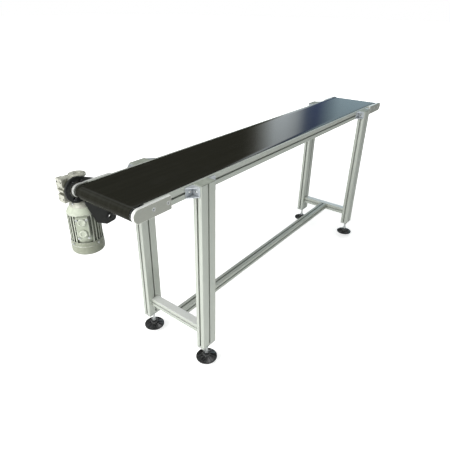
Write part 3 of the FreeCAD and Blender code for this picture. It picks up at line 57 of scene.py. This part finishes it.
# ---- Node-based materials -------------------------------------------------------------------------
class Shader:
    """Builds one procedural material around a Principled shader."""

    def __init__(self, name):
        self.material = bpy.data.materials.new(name)
        self.material.use_nodes = True
        self.tree = self.material.node_tree
        self.tree.nodes.clear()
        output = self.tree.nodes.new("ShaderNodeOutputMaterial")
        self.surface = self.tree.nodes.new("ShaderNodeBsdfPrincipled")
        self.tree.links.new(self.surface.outputs["BSDF"], output.inputs["Surface"])
        self.object_coords = self.tree.nodes.new("ShaderNodeTexCoord").outputs["Object"]

    def node(self, kind, inputs=None, **properties):
        made = self.tree.nodes.new(kind)
        for key, value in properties.items():
            setattr(made, key, value)
        for key, value in (inputs or {}).items():
            self.feed(made, key, value)
        return made

    def feed(self, node, key, value):
        if isinstance(value, bpy.types.NodeSocket):
            self.tree.links.new(value, node.inputs[key])
        else:
            node.inputs[key].default_value = value

    def set(self, **values):
        names = {"color": "Base Color", "metal": "Metallic", "rough": "Roughness", "normal": "Normal",
                 "coat": "Coat Weight", "coat_rough": "Coat Roughness", "level": "Specular IOR Level",
                 "sheen": "Sheen Weight", "sheen_rough": "Sheen Roughness", "tint": "Sheen Tint",
                 "aniso": "Anisotropic", "ior": "IOR", "subsurface": "Subsurface Weight"}
        for key, value in values.items():
            self.feed(self.surface, names[key], value)
        return self.material

    def scaled(self, x, y, z):
        """Object coordinates in metres, times a scale along each axis."""
        inputs = {"Vector": self.object_coords, "Scale": (x, y, z)}
        return self.node("ShaderNodeMapping", inputs).outputs["Vector"]

    def noise(self, vector, detail=4.0, roughness=0.55):
        inputs = {"Vector": vector, "Scale": 1.0, "Detail": detail, "Roughness": roughness}
        return self.node("ShaderNodeTexNoise", inputs).outputs["Fac"]

    def cells(self, vector, feature="F1"):
        inputs = {"Vector": vector, "Scale": 1.0}
        return self.node("ShaderNodeTexVoronoi", inputs, feature=feature).outputs["Distance"]

    def ramp(self, factor, *stops):
        made = self.node("ShaderNodeValToRGB", {"Fac": factor})
        elements = made.color_ramp.elements
        while len(elements) < len(stops):
            elements.new(0.5)
        for element, (place, color) in zip(elements, stops):
            element.position = place
            element.color = color if isinstance(color, tuple) else (color, color, color, 1)
        return made.outputs["Color"]

    def mix(self, factor, first, second, blend="MIX"):
        return self.node("ShaderNodeMixRGB", {"Fac": factor, "Color1": first, "Color2": second},
                         blend_type=blend).outputs["Color"]

    def math(self, operation, first, second=0.0, third=0.0):
        made = self.node("ShaderNodeMath", operation=operation)
        for i, value in enumerate((first, second, third)):
            self.feed(made, i, value)
        return made.outputs[0]

    def rounded(self, radius):
        """A normal that rounds the shading of sharp edges."""
        return self.node("ShaderNodeBevel", {"Radius": radius}, samples=6).outputs["Normal"]

    def edges(self, radius, sharp=0.03):
        """1 on sharp edges and 0 on flat faces."""
        bent = self.rounded(radius)
        flat = self.node("ShaderNodeNewGeometry").outputs["Normal"]
        inputs = {0: bent, 1: flat}
        dot = self.node("ShaderNodeVectorMath", inputs, operation="DOT_PRODUCT").outputs["Value"]
        return self.ramp(self.math("SUBTRACT", 1.0, dot), (0.0, 0.0), (sharp, 1.0))

    def shade(self, distance):
        """1 in the open and 0 deep in a crevice."""
        return self.node("ShaderNodeAmbientOcclusion", {"Distance": distance}, samples=8).outputs["AO"]

    def facing(self, axis):
        """The true normal's component along an axis, without its sign for Y."""
        normal = self.node("ShaderNodeNewGeometry").outputs["Normal"]
        part = self.node("ShaderNodeSeparateXYZ", {"Vector": normal}).outputs[axis]
        return self.math("ABSOLUTE", part) if axis == "Y" else part

    def bump(self, height, strength, distance, normal=None):
        inputs = {"Height": height, "Strength": strength, "Distance": distance}
        if normal is not None:
            inputs["Normal"] = normal
        return self.node("ShaderNodeBump", inputs).outputs["Normal"]


def rgb(r, g, b):
    return (r, g, b, 1.0)


AXIS_SCALES = {"X": (3, 900, 900), "Y": (900, 3, 900), "Z": (900, 900, 3)}


def extruded_aluminium(name, axis):
    """Anodised profile: satin, with fine die lines along its length, painted shade in its grooves, painted
    highlights on its corners and, for the cross members, painted light on their top faces.
    """
    s = Shader(name)
    lines = s.noise(s.scaled(*AXIS_SCALES[axis]), 3.0, 0.6)
    clouds = s.noise(s.scaled(9, 9, 9), 3.0)
    color = s.mix(lines, rgb(0.47, 0.50, 0.455), rgb(0.60, 0.63, 0.58))
    color = s.mix(s.math("MULTIPLY", clouds, 0.35), color, rgb(0.66, 0.68, 0.63))
    # Painted shade: grooves and recesses darken where the occlusion mask finds little open sky.
    groove_shade = s.ramp(s.shade(0.010), (0.05, 0.0), (0.7, 1.0))
    color = s.mix(groove_shade, rgb(0.24, 0.25, 0.205), color)
    # Painted highlight: sharp edges and corners blend toward a pale near-white.
    color = s.mix(s.math("MULTIPLY", s.edges(0.0012), 0.5), color, rgb(0.85, 0.87, 0.83))
    # Painted light: on the cross members, faces turned upward are lightened toward white, as if lit from
    # above.
    if axis == "Y":
        color = s.mix(s.ramp(s.facing("Z"), (0.5, 0.0), (0.9, 0.9)), color, rgb(0.98, 0.99, 0.97))
    rough = s.math("MULTIPLY_ADD", lines, 0.16, 0.30)
    normal = s.bump(lines, 0.10, 0.0004, s.rounded(0.0012))
    return s.set(color=color, metal=0.55, rough=rough, normal=normal)


def milled_aluminium(name):
    """End plates: fine milling lines on the face, painted highlights whitening the rounded rim and the faces
    not turned sideways, painted shade in the recesses.
    """
    s = Shader(name)
    lines = s.noise(s.scaled(70, 400, 1500), 2.0, 0.6)
    clouds = s.noise(s.scaled(35, 35, 35), 4.0)
    color = s.mix(lines, rgb(0.34, 0.35, 0.315), rgb(0.46, 0.47, 0.425))
    color = s.mix(s.math("MULTIPLY", clouds, 0.3), color, rgb(0.54, 0.55, 0.50))
    # Painted highlight: sharp edges turn near white.
    color = s.mix(s.edges(0.0022), color, rgb(0.96, 0.97, 0.94))
    # Painted highlight: faces not turned to the sides, such as the rim, nose and top, turn near white.
    color = s.mix(s.ramp(s.facing("Y"), (0.3, 1.0), (0.7, 0.0)), color, rgb(0.97, 0.98, 0.96))
    # Painted shade: recesses go near black where the occlusion mask finds little open sky.
    color = s.mix(s.ramp(s.shade(0.008), (0.0, 0.0), (0.4, 1.0)), rgb(0.05, 0.05, 0.05), color)
    normal = s.bump(lines, 0.12, 0.0003, s.rounded(0.0016))
    return s.set(color=color, metal=0.6, rough=s.math("MULTIPLY_ADD", clouds, 0.2, 0.26), normal=normal)


def die_cast(name, base, light, recess_shade, metal=0.35, rough=0.42, grain=1400.0, depth=0.02):
    """Cast surface: fine grain, painted highlights on its edges, painted shade in its recesses."""
    s = Shader(name)
    fine = s.noise(s.scaled(grain, grain, grain), 3.0, 0.6)
    wide = s.noise(s.scaled(60, 60, 60), 4.0)
    color = s.mix(s.ramp(wide, (0.35, 0.0), (0.7, 1.0)), base, light)
    # Painted highlight: edges blend toward the pale colour.
    color = s.mix(s.math("MULTIPLY", s.edges(0.0012), 0.6), color, light)
    # Painted shade: recesses darken toward the third, dark colour where little light reaches.
    color = s.mix(s.ramp(s.shade(depth), (0.1, 0.0), (0.85, 1.0)), recess_shade, color)
    normal = s.bump(fine, 0.22, 0.0005, s.rounded(0.0012))
    normal = s.bump(wide, 0.15, 0.001, normal)
    rough = s.math("MULTIPLY_ADD", fine, 0.18, rough - 0.09)
    return s.set(color=color, metal=metal, rough=rough, normal=normal)


def sprayed_paint(name, base, dust_and_shade, rough=0.4, depth=0.03, deep=0.05, open_from=0.7, peel=0.18, coat=0.12):
    """Sprayed paint with orange peel, gathered dust, painted shade darkening its grooves and recesses, and
    painted highlights on its edges.
    """
    s = Shader(name)
    peel_noise = s.noise(s.scaled(620, 620, 620), 2.0, 0.5)
    dust = s.noise(s.scaled(40, 40, 25), 5.0, 0.6)
    color = s.mix(s.ramp(dust, (0.45, 0.0), (0.85, 0.35)), base, dust_and_shade)
    # Painted shade: grooves and recesses darken toward the dust colour where little light reaches.
    color = s.mix(s.ramp(s.shade(depth), (deep, 0.0), (open_from, 1.0)), dust_and_shade, color)
    # Painted highlight: edges blend halfway toward white.
    edge_highlight = s.mix(0.55, color, rgb(1, 1, 1))
    color = s.mix(s.math("MULTIPLY", s.edges(0.0011), 0.7), color, edge_highlight)
    normal = s.bump(peel_noise, peel, 0.0005, s.rounded(0.0009))
    return s.set(color=color, rough=s.math("MULTIPLY_ADD", dust, 0.25, rough - 0.1), normal=normal,
                 coat=coat, coat_rough=0.2)


def powder_coat_black(name):
    s = Shader(name)
    peel = s.noise(s.scaled(480, 480, 480), 2.0, 0.5)
    scuffs = s.noise(s.scaled(160, 160, 40), 6.0, 0.7)
    scuffed = s.ramp(scuffs, (0.55, 0.0), (0.8, 1.0))
    color = s.mix(scuffed, rgb(0.007, 0.0078, 0.0075), rgb(0.024, 0.026, 0.022))
    # Painted highlight: sharp edges lighten to a dark grey.
    color = s.mix(s.math("MULTIPLY", s.edges(0.0008), 0.5), color, rgb(0.06, 0.063, 0.07))
    normal = s.bump(peel, 0.3, 0.0006, s.rounded(0.0008))
    return s.set(color=color, rough=s.math("MULTIPLY_ADD", scuffs, 0.25, 0.34), normal=normal, coat=0.05)


def zinc_plate(name):
    """Bright zinc with a faint blue and straw cast, fine turning marks and painted shade in its crevices."""
    s = Shader(name)
    patches = s.noise(s.scaled(260, 260, 260), 4.0, 0.6)
    color = s.ramp(patches, (0.3, rgb(0.64, 0.69, 0.77)), (0.5, rgb(0.78, 0.80, 0.81)),
                   (0.72, rgb(0.75, 0.73, 0.66)))
    # Painted shade: crevices go near black where the occlusion mask finds little open sky.
    color = s.mix(s.ramp(s.shade(0.004), (0.1, 0.0), (0.8, 1.0)), rgb(0.02, 0.02, 0.02), color)
    fine = s.noise(s.scaled(2400, 2400, 2400), 2.0)
    normal = s.bump(fine, 0.15, 0.0003, s.rounded(0.0004))
    return s.set(color=color, metal=0.95, rough=s.math("MULTIPLY_ADD", patches, 0.2, 0.18), normal=normal)


def turned_steel(name, base, spread, rough=0.24):
    s = Shader(name)
    rings = s.noise(s.scaled(120, 2600, 2600), 2.0, 0.6)
    stains = s.noise(s.scaled(45, 45, 45), 4.0)
    color = s.mix(s.ramp(stains, (0.4, 0.0), (0.75, 1.0)), base, spread)
    # Painted highlight: sharp edges blend toward pale grey.
    color = s.mix(s.math("MULTIPLY", s.edges(0.0005), 0.5), color, rgb(0.9, 0.9, 0.9))
    normal = s.bump(rings, 0.12, 0.0002, s.rounded(0.0005))
    rough = s.math("MULTIPLY_ADD", rings, 0.15, rough - 0.05)
    return s.set(color=color, metal=1.0, rough=rough, normal=normal)


def galvanised_sheet(name):
    """Sheet steel with zinc spangle."""
    s = Shader(name)
    spangle = s.cells(s.scaled(140, 140, 140))
    scratches = s.noise(s.scaled(4, 900, 900), 4.0, 0.7)
    color = s.mix(spangle, rgb(0.50, 0.52, 0.54), rgb(0.70, 0.71, 0.72))
    color = s.mix(s.ramp(scratches, (0.55, 0.0), (0.75, 0.4)), color, rgb(0.85, 0.85, 0.86))
    normal = s.bump(scratches, 0.1, 0.0002, s.rounded(0.0004))
    return s.set(color=color, metal=0.9, rough=s.math("MULTIPLY_ADD", spangle, 0.25, 0.28), normal=normal)


def stacked_laminations(name):
    s = Shader(name)
    sheets = s.node("ShaderNodeTexWave", {"Vector": s.object_coords, "Scale": 320.0, "Distortion": 0.0},
                    bands_direction="Z").outputs["Fac"]
    stains = s.noise(s.scaled(80, 80, 80), 4.0)
    color = s.mix(sheets, rgb(0.10, 0.10, 0.11), rgb(0.34, 0.33, 0.32))
    color = s.mix(s.ramp(stains, (0.5, 0.0), (0.8, 0.5)), color, rgb(0.30, 0.16, 0.07))
    return s.set(color=color, metal=0.8, rough=0.42, normal=s.bump(sheets, 0.4, 0.0004, s.rounded(0.0004)))


def bronze(name):
    s = Shader(name)
    marks = s.noise(s.scaled(900, 140, 900), 3.0, 0.6)
    stains = s.noise(s.scaled(70, 70, 70), 5.0, 0.6)
    color = s.mix(stains, rgb(0.50, 0.30, 0.10), rgb(0.74, 0.52, 0.22))
    # Painted highlight: sharp edges blend toward a pale gold.
    color = s.mix(s.math("MULTIPLY", s.edges(0.0006), 0.6), color, rgb(0.90, 0.72, 0.40))
    normal = s.bump(marks, 0.15, 0.0003, s.rounded(0.0006))
    return s.set(color=color, metal=1.0, rough=s.math("MULTIPLY_ADD", marks, 0.2, 0.18), normal=normal)


def moulded_plastic(name, base, light, rough=0.4, grain=900.0, grain_strength=0.2, coat=0.0):
    s = Shader(name)
    fine = s.noise(s.scaled(grain, grain, grain), 2.0, 0.5)
    wide = s.noise(s.scaled(55, 55, 55), 5.0, 0.6)
    color = s.mix(s.ramp(wide, (0.4, 0.0), (0.8, 1.0)), base, light)
    # Painted highlight: sharp edges blend toward the pale colour.
    color = s.mix(s.math("MULTIPLY", s.edges(0.0009), 0.45), color, light)
    normal = s.bump(fine, grain_strength, 0.0004, s.rounded(0.0009))
    return s.set(color=color, rough=s.math("MULTIPLY_ADD", wide, 0.22, rough - 0.1), normal=normal,
                 coat=coat, coat_rough=0.12)


def belt_cover_material():
    """PVC cover: fine cloth impression, faint wear streaks along the travel, dusty blots."""
    s = Shader("belt_pvc")
    weave_x = s.node("ShaderNodeTexWave", {"Vector": s.object_coords, "Scale": 190.0, "Distortion": 0.6,
                     "Detail": 1.0}, bands_direction="X").outputs["Fac"]
    weave_y = s.node("ShaderNodeTexWave", {"Vector": s.object_coords, "Scale": 190.0, "Distortion": 0.6,
                     "Detail": 1.0}, bands_direction="Y").outputs["Fac"]
    weave = s.math("MULTIPLY", weave_x, weave_y)
    streaks = s.noise(s.scaled(1.6, 70, 3), 5.0, 0.65)
    blots = s.noise(s.scaled(14, 14, 14), 5.0, 0.6)
    worn = s.ramp(streaks, (0.42, 0.0), (0.75, 1.0))
    color = s.mix(worn, rgb(0.0125, 0.0125, 0.0095), rgb(0.018, 0.018, 0.014))
    color = s.mix(s.ramp(blots, (0.55, 0.0), (0.8, 0.5)), color, rgb(0.021, 0.021, 0.019))
    rough = s.math("MULTIPLY_ADD", streaks, 0.05, 0.08)
    rough = s.math("MULTIPLY_ADD", blots, 0.02, rough)
    normal = s.bump(weave, 0.02, 0.0002)
    normal = s.bump(s.noise(s.scaled(700, 700, 700), 2.0), 0.015, 0.0001, normal)
    # Painted highlight through reflection strength: it follows which way the surface faces, almost none on
    # the sides and underside, weak on the nose except a thin stronger band, full on the flat top.
    level = s.ramp(s.facing("Z"), (0.60, 0.02), (0.80, 0.20), (0.90, 0.05), (0.97, 0.5))
    return s.set(color=color, rough=rough, normal=normal, level=level)


def belt_fabric_material():
    """Running side and cut edge: woven polyester."""
    s = Shader("belt_fabric")
    warp = s.node("ShaderNodeTexWave", {"Vector": s.object_coords, "Scale": 260.0, "Distortion": 1.0},
                  bands_direction="X").outputs["Fac"]
    weft = s.node("ShaderNodeTexWave", {"Vector": s.object_coords, "Scale": 260.0, "Distortion": 1.0},
                  bands_direction="Y").outputs["Fac"]
    threads = s.math("MAXIMUM", warp, weft)
    color = s.mix(threads, rgb(0.02, 0.02, 0.021), rgb(0.10, 0.105, 0.10))
    return s.set(color=color, rough=0.85, normal=s.bump(threads, 0.5, 0.0005), sheen=0.3)


MATERIALS = {
    "plate_aluminium": milled_aluminium("end_plate_milled"),
    # For each die_cast below, the third colour is the painted shade of its recesses.
    "bracket_aluminium": die_cast("bracket_tumbled", rgb(0.50, 0.53, 0.57), rgb(0.72, 0.75, 0.79),
                                  rgb(0.03, 0.03, 0.035), 0.6, 0.36, 1800.0, 0.008),
    "base_plate_aluminium": die_cast("base_plate_aluminium", rgb(0.40, 0.42, 0.40), rgb(0.62, 0.64, 0.60),
                                     rgb(0.05, 0.05, 0.05), 0.6, 0.38, 1500.0, 0.006),
    "cap_plastic": moulded_plastic("leg_cap_plastic", rgb(0.23, 0.25, 0.215), rgb(0.32, 0.34, 0.30), 0.45),
    "zinc_steel": zinc_plate("zinc_plated_steel"),
    "sheet_steel": galvanised_sheet("galvanised_sheet"),
    "machined_steel": turned_steel("turned_steel", rgb(0.42, 0.42, 0.43), rgb(0.58, 0.57, 0.55)),
    "bearing_steel": turned_steel("bearing_steel", rgb(0.52, 0.52, 0.53), rgb(0.62, 0.62, 0.62), 0.18),
    "black_painted_steel": powder_coat_black("black_powder_coat"),
    "black_oxide_steel": turned_steel("black_oxide_steel", rgb(0.022, 0.022, 0.024),
                                      rgb(0.045, 0.044, 0.045), 0.34),
    "gearbox_casting": die_cast("gearbox_die_cast", rgb(0.36, 0.36, 0.31), rgb(0.58, 0.58, 0.52),
                                rgb(0.055, 0.055, 0.03)),
    "seal_rubber": moulded_plastic("moulded_rubber", rgb(0.012, 0.012, 0.012), rgb(0.035, 0.035, 0.035), 0.6),
    "wheel_bronze": bronze("wheel_bronze"),
    # For each sprayed paint below, the second colour is both its dust and the painted shade of its recesses.
    "motor_casting": sprayed_paint("motor_cream_paint", rgb(0.43, 0.46, 0.38), rgb(0.012, 0.014, 0.006),
                                   depth=0.014, deep=0.25, open_from=0.8),
    "lamination_steel": stacked_laminations("stacked_laminations"),
    "cowl_paint": sprayed_paint("cowl_cream_paint", rgb(0.235, 0.25, 0.195), rgb(0.09, 0.094, 0.058),
                                rough=0.36, peel=0.14),
    "box_casting": sprayed_paint("box_cream_paint", rgb(0.37, 0.40, 0.325), rgb(0.05, 0.055, 0.03)),
    "gland_plastic": sprayed_paint("gland_paint", rgb(0.44, 0.47, 0.39), rgb(0.03, 0.033, 0.016),
                                   depth=0.012, deep=0.2, open_from=0.75),
    "fan_plastic": moulded_plastic("fan_plastic", rgb(0.02, 0.02, 0.02), rgb(0.05, 0.05, 0.05), 0.5),
    "foot_plastic": moulded_plastic("foot_nylon", rgb(0.010, 0.010, 0.011), rgb(0.022, 0.022, 0.024), 0.22,
                                    500.0, 0.08, 0.8),
}
PROFILE_AXES = {"Z": ("leg_drive_near", "leg_drive_far", "leg_tail_near", "leg_tail_far"),
                "Y": ("cross_member_drive", "cross_member_tail"),
                "X": ("stretcher", "side_rail_near", "side_rail_far")}


def paint_cad_nodes():
    slot_of = {row["node"]: row["material_slot"] for row in frame["record"]["subparts"]}
    chosen = {}
    for axis, members in PROFILE_AXES.items():
        material = extruded_aluminium("extruded_aluminium_" + axis.lower(), axis)
        chosen.update({member: material for member in members})
    for name, node in frame["nodes"].items():
        if slot_of[name] == "belt_rubber":
            continue
        material = chosen.get(name) or MATERIALS[slot_of[name]]
        node.data.materials.clear()
        node.data.materials.append(material)


# ---- Mesh pieces ----------------------------------------------------------------------------------
def mesh_piece(name, verts, faces, materials, face_materials=None, smooth=True):
    mesh = bpy.data.meshes.new(name)
    mesh.from_pydata([tuple(v) for v in verts], [], faces)
    for material in materials:
        mesh.materials.append(material)
    if face_materials:
        mesh.polygons.foreach_set("material_index", face_materials)
    mesh.polygons.foreach_set("use_smooth", [smooth] * len(mesh.polygons))
    mesh.update()
    piece = bpy.data.objects.new(name, mesh)
    bpy.context.scene.collection.objects.link(piece)
    return piece


def belt_path():
    """Stations round the loop, from the drive nose's top: (point, outward normal) in the XZ plane."""
    stations = []
    straight, arc = 140, 28
    for i in range(straight):
        x = -NOSE_X + 2 * NOSE_X * i / straight
        stations.append((Vector((x, 0, 0)), Vector((0, 0, 1))))
    for i in range(arc):
        a = math.pi / 2 - math.pi * i / arc
        n = Vector((math.cos(a), 0, math.sin(a)))
        stations.append((Vector((NOSE_X, 0, -BEND)) + n * BEND, n))
    for i in range(straight):
        t = i / straight
        sag = 0.0016 * math.sin(math.pi * t) ** 2
        stations.append((Vector((NOSE_X - 2 * NOSE_X * t, 0, -2 * BEND - sag)), Vector((0, 0, -1))))
    for i in range(arc):
        a = -math.pi / 2 - math.pi * i / arc
        n = Vector((math.cos(a), 0, math.sin(a)))
        stations.append((Vector((-NOSE_X, 0, -BEND)) + n * BEND, n))
    return stations


def belt_section():
    """(y, depth) points round the belt's cross-section and, for each side, whether it is the cover."""
    half, t, r = BELT_HALF_WIDTH, BELT_THICKNESS, 0.0006
    outer = [(-half + r + (2 * half - 2 * r) * i / 14, 0.0) for i in range(15)]
    right = [(half - r + r * math.sin(a), r - r * math.cos(a))
             for a in (math.pi / 6, math.pi / 3, math.pi / 2)]
    inner = [(half - 2 * half * i / 10, t) for i in range(11)]
    left = [(-y, d) for y, d in reversed(right)]
    points = outer + right + inner + left
    cover = [i < 14 + 2 or i >= len(points) - 3 for i in range(len(points))]
    return points, cover


def build_belt():
    stations, (section, cover) = belt_path(), belt_section()
    verts, faces, kinds = [], [], []
    for point, normal in stations:
        for y, depth in section:
            verts.append(point - normal * depth + Vector((0, y, 0)))
    n, m = len(stations), len(section)
    for i in range(n):
        for j in range(m):
            k, l = (i + 1) % n, (j + 1) % m
            faces.append((i * m + j, i * m + l, k * m + l, k * m + j))
            kinds.append(0 if cover[j] else 1)
    piece = mesh_piece("belt_cover", verts, faces, [belt_cover_material(), belt_fabric_material()], kinds)
    bm = bmesh.new()
    bm.from_mesh(piece.data)
    bmesh.ops.recalc_face_normals(bm, faces=bm.faces)
    bm.to_mesh(piece.data)
    bm.free()
    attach(piece, "frame")
    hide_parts("belt")


# ---- Studio ---------------------------------------------------------------------------------------
def ramp_node(tree, factor, stops):
    ramp = tree.nodes.new("ShaderNodeValToRGB")
    elements = ramp.color_ramp.elements
    while len(elements) < len(stops):
        elements.new(0.5)
    for element, (place, color) in zip(elements, stops):
        element.position = place
        element.color = color + (1.0,)
    tree.links.new(factor, ramp.inputs["Fac"])
    return ramp.outputs["Color"]


# Walls of the room that only surfaces see, as (heading in degrees, colour): light at -X, dim at -Y,
# and ahead of the camera a pale blue stretch, a dark gap and a bright doorway before a dark wall.
# The bands from 20 to 34.5 degrees follow what the belt mirrors in the photograph.
WALL_COLORS = (
    (-180, (0.92, 0.95, 0.92)), (-135, (0.76, 0.79, 0.77)),
    (-90, (0.24, 0.235, 0.20)), (-45, (0.23, 0.23, 0.205)),
    (10, (0.50, 0.62, 0.68)), (20, (0.55, 0.74, 0.84)), (22.6, (0.53, 0.71, 0.80)),
    (23.4, (0.40, 0.55, 0.60)), (24.2, (0.22, 0.31, 0.42)), (25.0, (0.08, 0.12, 0.26)),
    (26.2, (0.06, 0.09, 0.23)), (27.2, (0.18, 0.25, 0.34)),
    (28.2, (0.80, 0.88, 0.92)), (29.0, (1.0, 1.1, 1.15)), (31.8, (1.05, 1.15, 1.18)),
    (32.6, (0.25, 0.25, 0.22)), (34.5, (0.035, 0.034, 0.025)), (70, (0.035, 0.034, 0.028)),
    (90, (0.45, 0.47, 0.45)), (120, (0.76, 0.79, 0.77)), (180, (0.92, 0.95, 0.92)))
CEILING_COLOR = (0.44, 0.455, 0.45, 1.0)


def build_world():
    """White to the camera; to surfaces a room of light and dark walls under a grey ceiling."""
    world = bpy.data.worlds.new("studio")
    world.use_nodes = True
    tree = world.node_tree
    tree.nodes.clear()
    output = tree.nodes.new("ShaderNodeOutputWorld")
    coords = tree.nodes.new("ShaderNodeTexCoord")
    split = tree.nodes.new("ShaderNodeSeparateXYZ")
    heading = tree.nodes.new("ShaderNodeMath")
    turns = tree.nodes.new("ShaderNodeMath")
    walls_to_ceiling = tree.nodes.new("ShaderNodeMixRGB")
    around = tree.nodes.new("ShaderNodeBackground")
    seen = tree.nodes.new("ShaderNodeBackground")
    path = tree.nodes.new("ShaderNodeLightPath")
    mix = tree.nodes.new("ShaderNodeMixShader")
    tree.links.new(coords.outputs["Generated"], split.inputs[0])
    heading.operation = "ARCTAN2"
    tree.links.new(split.outputs["Y"], heading.inputs[0])
    tree.links.new(split.outputs["X"], heading.inputs[1])
    turns.operation = "MULTIPLY_ADD"
    tree.links.new(heading.outputs[0], turns.inputs[0])
    turns.inputs[1].default_value = 0.5 / math.pi
    turns.inputs[2].default_value = 0.5
    walls = ramp_node(tree, turns.outputs[0], [(d / 360 + 0.5, color) for d, color in WALL_COLORS])
    rise = ramp_node(tree, split.outputs["Z"], [(0.50, (0, 0, 0)), (0.68, (1, 1, 1))])
    tree.links.new(rise, walls_to_ceiling.inputs["Fac"])
    tree.links.new(walls, walls_to_ceiling.inputs["Color1"])
    walls_to_ceiling.inputs["Color2"].default_value = CEILING_COLOR
    tree.links.new(walls_to_ceiling.outputs["Color"], around.inputs["Color"])
    around.inputs["Strength"].default_value = WORLD_STRENGTH
    seen.inputs["Color"].default_value = (1.0, 1.0, 1.0, 1.0)
    seen.inputs["Strength"].default_value = 1.0
    tree.links.new(path.outputs["Is Camera Ray"], mix.inputs["Fac"])
    tree.links.new(around.outputs[0], mix.inputs[1])
    tree.links.new(seen.outputs[0], mix.inputs[2])
    tree.links.new(mix.outputs[0], output.inputs["Surface"])
    bpy.context.scene.world = world


def area_light(name, place, target, size, power, color=(1, 1, 1)):
    data = bpy.data.lights.new(name, "AREA")
    data.shape = "RECTANGLE"
    data.size, data.size_y = size
    data.energy = power
    data.color = color
    light = bpy.data.objects.new(name, data)
    light.location = place
    light.rotation_euler = (Vector(target) - Vector(place)).to_track_quat("-Z", "Y").to_euler()
    bpy.context.scene.collection.objects.link(light)
    return light


def build_floor():
    """Pale floor that fades to the white of the backdrop away from the conveyor."""
    s = Shader("studio_floor")
    speckle = s.noise(s.scaled(6, 6, 6), 3.0)
    color = s.mix(s.math("MULTIPLY", speckle, 0.3), rgb(0.88, 0.88, 0.88), rgb(0.85, 0.85, 0.85))
    distance = s.node("ShaderNodeVectorMath", {0: s.object_coords}, operation="LENGTH").outputs["Value"]
    fade = s.ramp(s.math("MULTIPLY", distance, 0.1), (0.14, 0.0), (0.34, 1.0))
    seen = s.node("ShaderNodeLightPath").outputs["Is Camera Ray"]
    near_glow = s.math("MULTIPLY_ADD", fade, 0.75, FLOOR_GLOW)
    s.set(color=color, rough=0.75, level=0.1)
    s.surface.inputs["Emission Color"].default_value = (1, 1, 1, 1)
    s.feed(s.surface, "Emission Strength", s.math("MULTIPLY", near_glow, seen))
    size = 60.0
    corners = ((-size, -size), (size, -size), (size, size), (-size, size))
    verts = [(x, y, FLOOR_Z) for x, y in corners]
    floor = mesh_piece("studio_floor", verts, [(0, 1, 2, 3)], [s.material], smooth=False)


CAMERA_PLACE = (-1.736, -1.0454, 0.5456)
CAMERA_HEADING = math.radians(38.047)   # from +X towards +Y
CAMERA_DIP = math.radians(28.028)       # below the horizon
CAMERA_ROLL = math.radians(0.652)
SENSOR_WIDTH = 36.0                     # millimetres, as is the focal length
FOCAL_LENGTH = 32.355


def build_camera():
    """The photograph's viewpoint, as fitted to it."""
    data = bpy.data.cameras.new("camera")
    data.sensor_width = SENSOR_WIDTH
    data.lens = FOCAL_LENGTH
    data.shift_x = 0.0034
    data.shift_y = -0.0054
    data.clip_start = 0.05
    data.clip_end = 200.0
    camera = bpy.data.objects.new("camera", data)
    heading = Matrix.Rotation(CAMERA_HEADING - math.pi / 2, 4, "Z")
    dip = Matrix.Rotation(math.pi / 2 - CAMERA_DIP, 4, "X")
    roll = Matrix.Rotation(CAMERA_ROLL, 4, "Z")
    camera.matrix_world = Matrix.Translation(CAMERA_PLACE) @ heading @ dip @ roll
    bpy.context.scene.collection.objects.link(camera)
    bpy.context.scene.camera = camera


paint_cad_nodes()
build_belt()
build_world()
build_floor()
key_light = area_light("key_left", (-3.5, 0.2, 1.3), (-0.5, 0, -0.4), (2.6, 2.2), 135.0, (1.0, 1.0, 0.97))
key_light.visible_glossy = False   # no lamp mirrored in the belt
area_light("top", (0.2, -0.2, 2.6), (0, 0, 0), (3.2, 1.6), 24.0)
area_light("front_fill", (-0.6, -3.6, 0.6), (0, 0, -0.4), (3.0, 1.8), 3.0)
build_camera()

scene = bpy.context.scene
scene.view_settings.view_transform = "Standard"
scene.view_settings.look = "None"
scene.view_settings.exposure = 0.0
